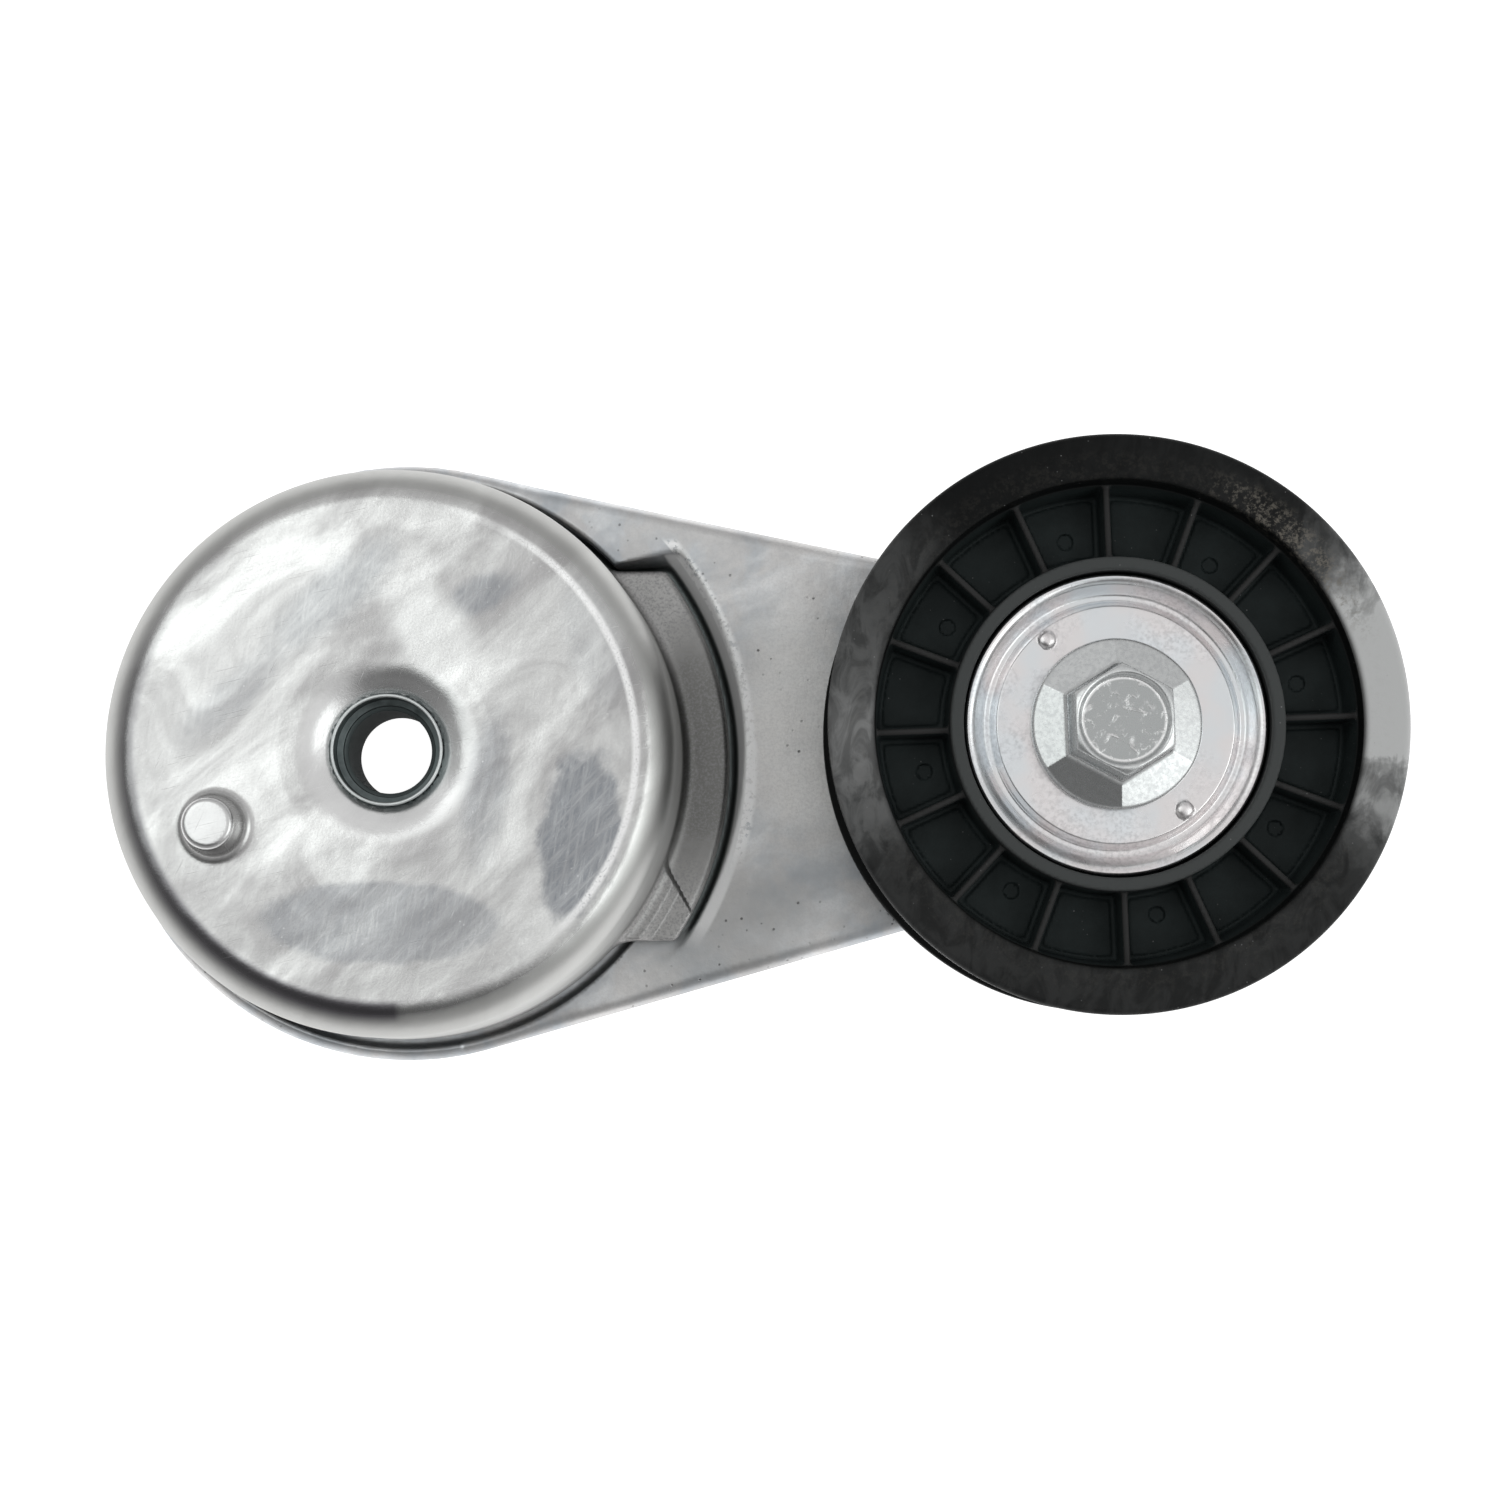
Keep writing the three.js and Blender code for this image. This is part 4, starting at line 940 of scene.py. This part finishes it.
def zinc_plate(name, value=0.84, rough=0.24, grain=0.015):
    """Bright zinc on steel: finely grained, with a faint iridescent tint."""
    f = Finish(name, (value,) * 3, 1.0, rough)
    mottle = f.between(f.noise(0.55, 4, 0.65), 0.32, 0.62)
    wear_and_painted_reflection = f.between(f.noise(7, 3, 0.5, warp=0.4), 0.38, 0.62)
    film = f.between(f.noise(9, 2), 0.38, 0.62)
    base = f.mix(mottle, grey(value * 0.84), grey(value * 1.08))
    base = f.mix(wear_and_painted_reflection, base, grey(value, (1.0, 1.0, 0.995)))
    tint = f.mix(film, grey(1.0, (0.97, 1.0, 1.03)), grey(1.0, (1.02, 0.985, 0.99)))
    rough = f.spread(wear_and_painted_reflection, rough + 0.12, rough - 0.04)
    relief = (f.noise(3.0, 3), grain * 2), (f.noise(0.35, 3, 0.65), grain)
    return f.done(f.mix(1.0, base, tint, "MULTIPLY"), rough, *relief)


def bolt_plate():
    """The same zinc on the pulley's bolt, duller in the dished head and bright round the dish."""
    f = Finish("zinc_bolt", (0.74, 0.75, 0.75), 1.0, 0.27)
    bolt_r = f.radius(PULLEY_X)
    mottle = f.between(f.noise(0.6, 4, 0.65), 0.35, 0.62)
    in_dish = f.all_of(f.between(bolt_r, 5.9, 5.6), f.between(f.along("Z"), 5, 6))
    scuff = f.between(f.noise(1.7, 4, 0.66, warp=0.9), 0.52, 0.68)
    base = f.coats(
        f.mix(mottle, grey(0.69, (0.98, 1.0, 1.01)), grey(0.8, (0.98, 1.0, 1.0))),
        (f.mix(scuff, grey(0.49, (0.97, 1.0, 1.0)), grey(0.82)), in_dish),
        (grey(0.95), in_dish, f.between(bolt_r, 5.3, 5.55)))
    relief = (f.noise(2.0, 2), 0.02), (f.all_of(scuff, in_dish), 0.03), (f.noise(0.35, 3, 0.65), 0.003)
    return f.done(base, f.spread(mottle, 0.3, 0.24), *relief)


def ground_steel(name, value, rough, tint=(1, 1, 1)):
    """Steel with a fine turned or drawn finish."""
    f = Finish(name, grey(value, tint)[:3], 1.0, rough)
    mottle = f.noise(2.5, 4)
    base = f.mix(f.between(mottle, 0.3, 0.7), grey(value * 0.8, tint), grey(value * 1.1, tint))
    return f.done(base, f.spread(mottle, rough - 0.08, rough + 0.1), (f.noise(0.4, 3), 0.006))


def sleeve_finish():
    """Dull greenish steel, bright at the top of its mouth, with its bore painted dark as shade."""
    f = Finish("steel_sleeve", (0.2, 0.24, 0.25), 1.0, 0.34, specular_ior_level=0.1)
    mottle, z = f.between(f.noise(1.5, 4), 0.3, 0.7), f.along("Z")
    in_bore = f.between(z, -3.9, -4.5)
    base = f.coats(
        f.mix(mottle, grey(0.11, (0.86, 1.02, 1.03)), grey(0.17, (0.88, 1.02, 1.03))),
        # painted shade: the bore darkened
        (grey(0.085, (0.85, 1.02, 1.03)), in_bore),
        (grey(0.7, (0.96, 1.0, 1.0)), f.between(z, -0.45, -0.15)))
    f.wire("Metallic", f.spread(in_bore, 1.0, 0.1))
    rough = f.math("MAXIMUM", f.spread(mottle, 0.32, 0.46), f.math("MULTIPLY", in_bore, 0.7))
    return f.done(base, rough, (f.noise(0.4, 3), 0.006))


# How pale the pulley's rim is painted by azimuth: a painted sheen standing in for reflected light.
RIM_PAINTED_SHEEN = [
    (0.0, 0.3), (0.045, 0.18), (0.09, 0.045), (0.25, 0.04), (0.4, 0.04), (0.42, 0.1), (0.447, 0.42),
    (0.461, 0.34), (0.48, 0.84), (0.533, 0.95), (0.567, 0.6), (0.6, 0.15), (0.64, 0.02), (0.847, 0.0),
    (0.903, 0.09), (0.958, 0.16), (1.0, 0.3),
]


def black_nylon():
    """Glass-filled black nylon: satin, with a painted pale sheen in smeared patches and dusty scuffs round
    the pulley's rim, and painted highlights on the rib tops.
    """
    f = Finish("nylon_black", (0.015, 0.015, 0.017), 0.0, 0.5, specular_ior_level=0.1)
    pulley_r, z = f.radius(PULLEY_X), f.along("Z")
    grain = f.noise(0.9, 4, 0.6)
    azimuth = f.math("ADD", f.azimuth(PULLEY_X), f.spread(f.noise(4, 4, 0.65), -0.02, 0.02))
    painted_sheen = f.ramp(azimuth, RIM_PAINTED_SHEEN)
    cloud = f.between(f.noise(6, 4, 0.6, f.moved((2, 5, 0), 80, (1, 1.8, 1)), warp=1.2), 0.36, 0.62)
    painted_sheen = f.math("MULTIPLY", painted_sheen, f.math("ADD", f.spread(cloud, 0.45, 1.1), painted_sheen), clamp=True)
    on_rim = f.all_of(f.between(z, 1.0, 1.5), f.between(pulley_r, 32.8, 34.2))
    speckle = f.between(f.noise(0.8, 5, 0.75, f.moved((3, 8, 0))), 0.47, 0.62)
    dusty = f.math("ADD", f.math("MULTIPLY", f.patch((126.0, 24.0), (4.6, 13.0), 42, 0.9, 0.5), 0.65), 0.05)
    hollow = f.all_of(f.between(z, -1.2, -1.5), f.between(pulley_r, 33.4, 32.8))
    on_hub = f.all_of(f.between(pulley_r, 24.0, 23.4), f.between(z, -1.5, 0.0))
    panel = f.mix(f.noise(4, 3), grey(0.02, (0.82, 1.05, 1.06)), grey(0.05, (0.82, 1.05, 1.06)))
    base = f.coats(
        f.mix(grain, grey(0.003, (0.9, 1.05, 1.05)), grey(0.008, (0.95, 1.02, 1.05))),
        # painted sheen: the rim's face lightened by azimuth
        (grey(0.6, (0.995, 1.0, 1.0)), painted_sheen, on_rim),
        (grey(0.2, (1.1, 1.0, 0.86)), speckle, f.band(pulley_r, 32.9, 34.0, 35.4, 38.4), dusty),
        (panel, hollow),
        # painted highlight: the rib tops and upper edges lightened
        (grey(0.04), hollow, f.between(z, -2.1, -1.75)),
        (grey(0.075, (0.96, 1.02, 1.02)), on_hub),
        (grey(0.4), f.pits(1.3, 0.1), 0.5))
    relief = (f.noise(3, 3), 0.05), (grain, 0.02), (f.noise(0.3, 2), 0.01)
    return f.done(base, f.spread(f.noise(6, 4, 0.6, warp=0.6), 0.38, 0.58), *relief)


def moulded(name, colour, rough):
    """Plain moulded plastic or rubber."""
    f = Finish(name, colour, 0.0, rough)
    cloud = f.noise(4, 4)
    base = f.mix(cloud, grey(0.82, colour), grey(1.14, colour))
    return f.done(base, f.spread(cloud, rough - 0.08, rough + 0.08), (f.noise(0.6, 3), 0.015))


# ------------------------------------------------------------------ camera, light, floor
CAMERA_PLACE, CAMERA_TARGET, CAMERA_UP = (48.12, -29.01, 397.54), (49.61, -1.84, 0.0), (0.0364, 0.9993, 0.0)
LIGHT_MIDDLE = (50, 0, -20)
LIGHT_COLOUR = (0.96, 1.0, 0.985)
DARK_SIDE_AZIMUTH = 228
# Brightness of the room from straight down (0) to straight up (1), on its open side and on its dark one.
OPEN_SIDE = [(0.0, 0.55), (0.15, 0.48), (0.5, 0.47), (0.72, 0.64), (0.9, 0.64), (1.0, 0.78)]
DARK_SIDE = [(0.0, 0.55), (0.2, 0.45), (0.5, 0.32), (0.7, 0.2), (0.82, 0.1), (0.955, 0.1), (1.0, 0.76)]
FLOOR_SIZE, FLOOR_GAP = 6000, 0.03


def stand_camera():
    """Over the part, looking straight down on the pulley and the pivot."""
    data = bpy.data.cameras.new("camera")
    data.lens = 70.08
    data.sensor_width = 36.0
    camera = bpy.data.objects.new("camera", data)
    bpy.context.scene.collection.objects.link(camera)
    place = Vector(CAMERA_PLACE) * MM
    forward = (Vector(CAMERA_TARGET) * MM - place).normalized()
    right = forward.cross(Vector(CAMERA_UP)).normalized()
    turn = Matrix((right, right.cross(forward), -forward)).transposed().to_4x4()
    camera.matrix_world = Matrix.Translation(place) @ turn
    bpy.context.scene.camera = camera


def softbox(name, azimuth, from_zenith, distance, size, radiance):
    """A square area light seen from the middle of the part in that direction, in degrees and millimetres."""
    a, t = math.radians(azimuth), math.radians(from_zenith)
    towards = Vector((math.sin(t) * math.cos(a), math.sin(t) * math.sin(a), math.cos(t)))
    data = bpy.data.lights.new(name, "AREA")
    data.shape = "SQUARE"
    data.size = size * MM
    data.energy = radiance * math.pi * (size * MM) ** 2
    data.color = LIGHT_COLOUR
    lamp = bpy.data.objects.new(name, data)
    lamp.location = (Vector(LIGHT_MIDDLE) + distance * towards) * MM
    lamp.rotation_euler = (-towards).to_track_quat("-Z", "Y").to_euler()
    lamp.visible_camera = False
    bpy.context.scene.collection.objects.link(lamp)


def light_studio():
    """A room with a pale ceiling, dark at eye level on one side, and softboxes to the left and right."""
    world = bpy.data.worlds.new("studio")
    bpy.context.scene.world = world
    world.use_nodes = True
    room = Nodes(world.node_tree)
    direction = room.node("ShaderNodeTexCoord").outputs["Generated"]
    height = room.node("ShaderNodeSeparateXYZ", {0: direction}).outputs["Z"]
    a = math.radians(DARK_SIDE_AZIMUTH)
    toward_dark = room.vector("DOT_PRODUCT", direction, (math.cos(a), math.sin(a), 0), "Value")
    dark_share = room.between(toward_dark, 0.06, 0.36)
    background = world.node_tree.nodes["Background"].inputs
    colour = room.mix(dark_share, room.ramp(height, OPEN_SIDE), room.ramp(height, DARK_SIDE))
    room.put(background["Color"], colour)
    room.put(background["Strength"], 1.0)
    softbox("key", 164, 28, 600, 340, 0.94)
    softbox("fill", -20, 46, 600, 400, 1.2)


def lay_floor():
    """A glowing white floor just below the part."""
    bpy.ops.mesh.primitive_plane_add(
        size=FLOOR_SIZE * MM, location=(PULLEY_X / 2 * MM, 0, (FLOOR_Z - FLOOR_GAP) * MM))
    floor = bpy.context.object
    floor.name = "floor"
    f = Finish("floor_pale", (0.9, 0.9, 0.9), 0.0, 0.7, emission_strength=1.12)
    f.wire("Base Color", f.mix(f.noise(60, 3), grey(0.41), grey(0.45)))
    f.wire("Emission Color", grey(0.9))
    floor.data.materials.append(f.material)


# ------------------------------------------------------------------ putting it together
def fit(piece, finish, body, slot, *nodes):
    """A piece takes its finish, rides on its body and stands for its CAD nodes."""
    piece.data.materials.append(finish)
    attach(piece, body)
    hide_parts(*nodes)


stand_camera()
light_studio()
lay_floor()
bpy.context.scene.view_settings.view_transform = "Standard"

bright_casting, satin_casting = polished_casting(), sand_casting()
zinc = zinc_plate("zinc_bright")
cover_zinc = zinc_plate("zinc_cover", 0.84, 0.25, 0.01)
spring_steel = ground_steel("steel_spring", 0.12, 0.4)
tube_steel = ground_steel("steel_tube", 0.2, 0.4, (0.9, 1.0, 1.0))
bearing_steel = ground_steel("steel_bearing", 0.68, 0.15)
nylon = black_nylon()
shoe_nylon = moulded("nylon_shoe", (0.03, 0.03, 0.03), 0.5)
white_nylon = moulded("nylon_white", (0.7, 0.67, 0.58), 0.45)
rubber = moulded("rubber_seal", (0.02, 0.02, 0.02), 0.6)

fit(base_cup(), bright_casting, "base", "cast_aluminium", "base_cup")
fit(pivot_tube(), tube_steel, "base", "zinc_steel", "pivot_tube")
fit(pivot_sleeve(), sleeve_finish(), "base", "zinc_steel", "pivot_sleeve")
fit(torsion_spring(), spring_steel, "base", "spring_steel", "torsion_spring")
fit(damper_shoe(), shoe_nylon, "base", "black_nylon", "damper_shoe")
thrust_washer = plain_ring("thrust_washer_disc", 14.3, 22, -44.9, -43.9)
fit(thrust_washer, white_nylon, "base", "white_nylon", "thrust_washer")
retaining_plate = plain_ring("retaining_plate_disc", 14.3, 23, -46.6, -45.2, 0.3)
fit(retaining_plate, zinc, "base", "zinc_steel", "retaining_plate")

fit(tensioner_arm(), satin_casting, "arm", "cast_aluminium", "tensioner_arm")
pivot_bushing = plain_ring("pivot_bushing_tube", 14.3, 16.3, -43.6, -22)
fit(pivot_bushing, white_nylon, "arm", "white_nylon", "pivot_bushing")
fit(pulley_bolt(), bolt_plate(), "arm", "zinc_steel", "pulley_bolt")
fit(front_dust_cover(), cover_zinc, "arm", "zinc_steel", "front_dust_cover")
fit(rear_dust_shield(), zinc, "arm", "zinc_steel", "rear_dust_shield")
fit(bearing_spacer(), zinc, "arm", "zinc_steel", "bearing_spacer")
inner_race = bearing_ring("inner_race_steel", 8.5, 11.6, -1)
fit(inner_race, bearing_steel, "arm", "bearing_steel", "bearing_inner_ring")

fit(pulley_wheel(), nylon, "pulley", "black_nylon", "pulley_wheel")
outer_race = bearing_ring("outer_race_steel", 20.0, 17.3, 1)
fit(outer_race, bearing_steel, "pulley", "bearing_steel", "bearing_outer_ring")
for side, low, high in (("front", -6.4, -5.6), ("rear", -17.0, -16.2)):
    seal = plain_ring(f"{side}_seal_disc", 11.9, 17.0, low, high, 0.2, PULLEY_X)
    fit(seal, rubber, "pulley", "seal_rubber", f"{side}_bearing_seal")

fit(bearing_cage(), white_nylon, "cage", "white_nylon", "bearing_cage")
for i in range(BALL_COUNT):
    fit(bearing_ball(i), bearing_steel, "cage", "bearing_steel", f"bearing_ball_{i + 1}")
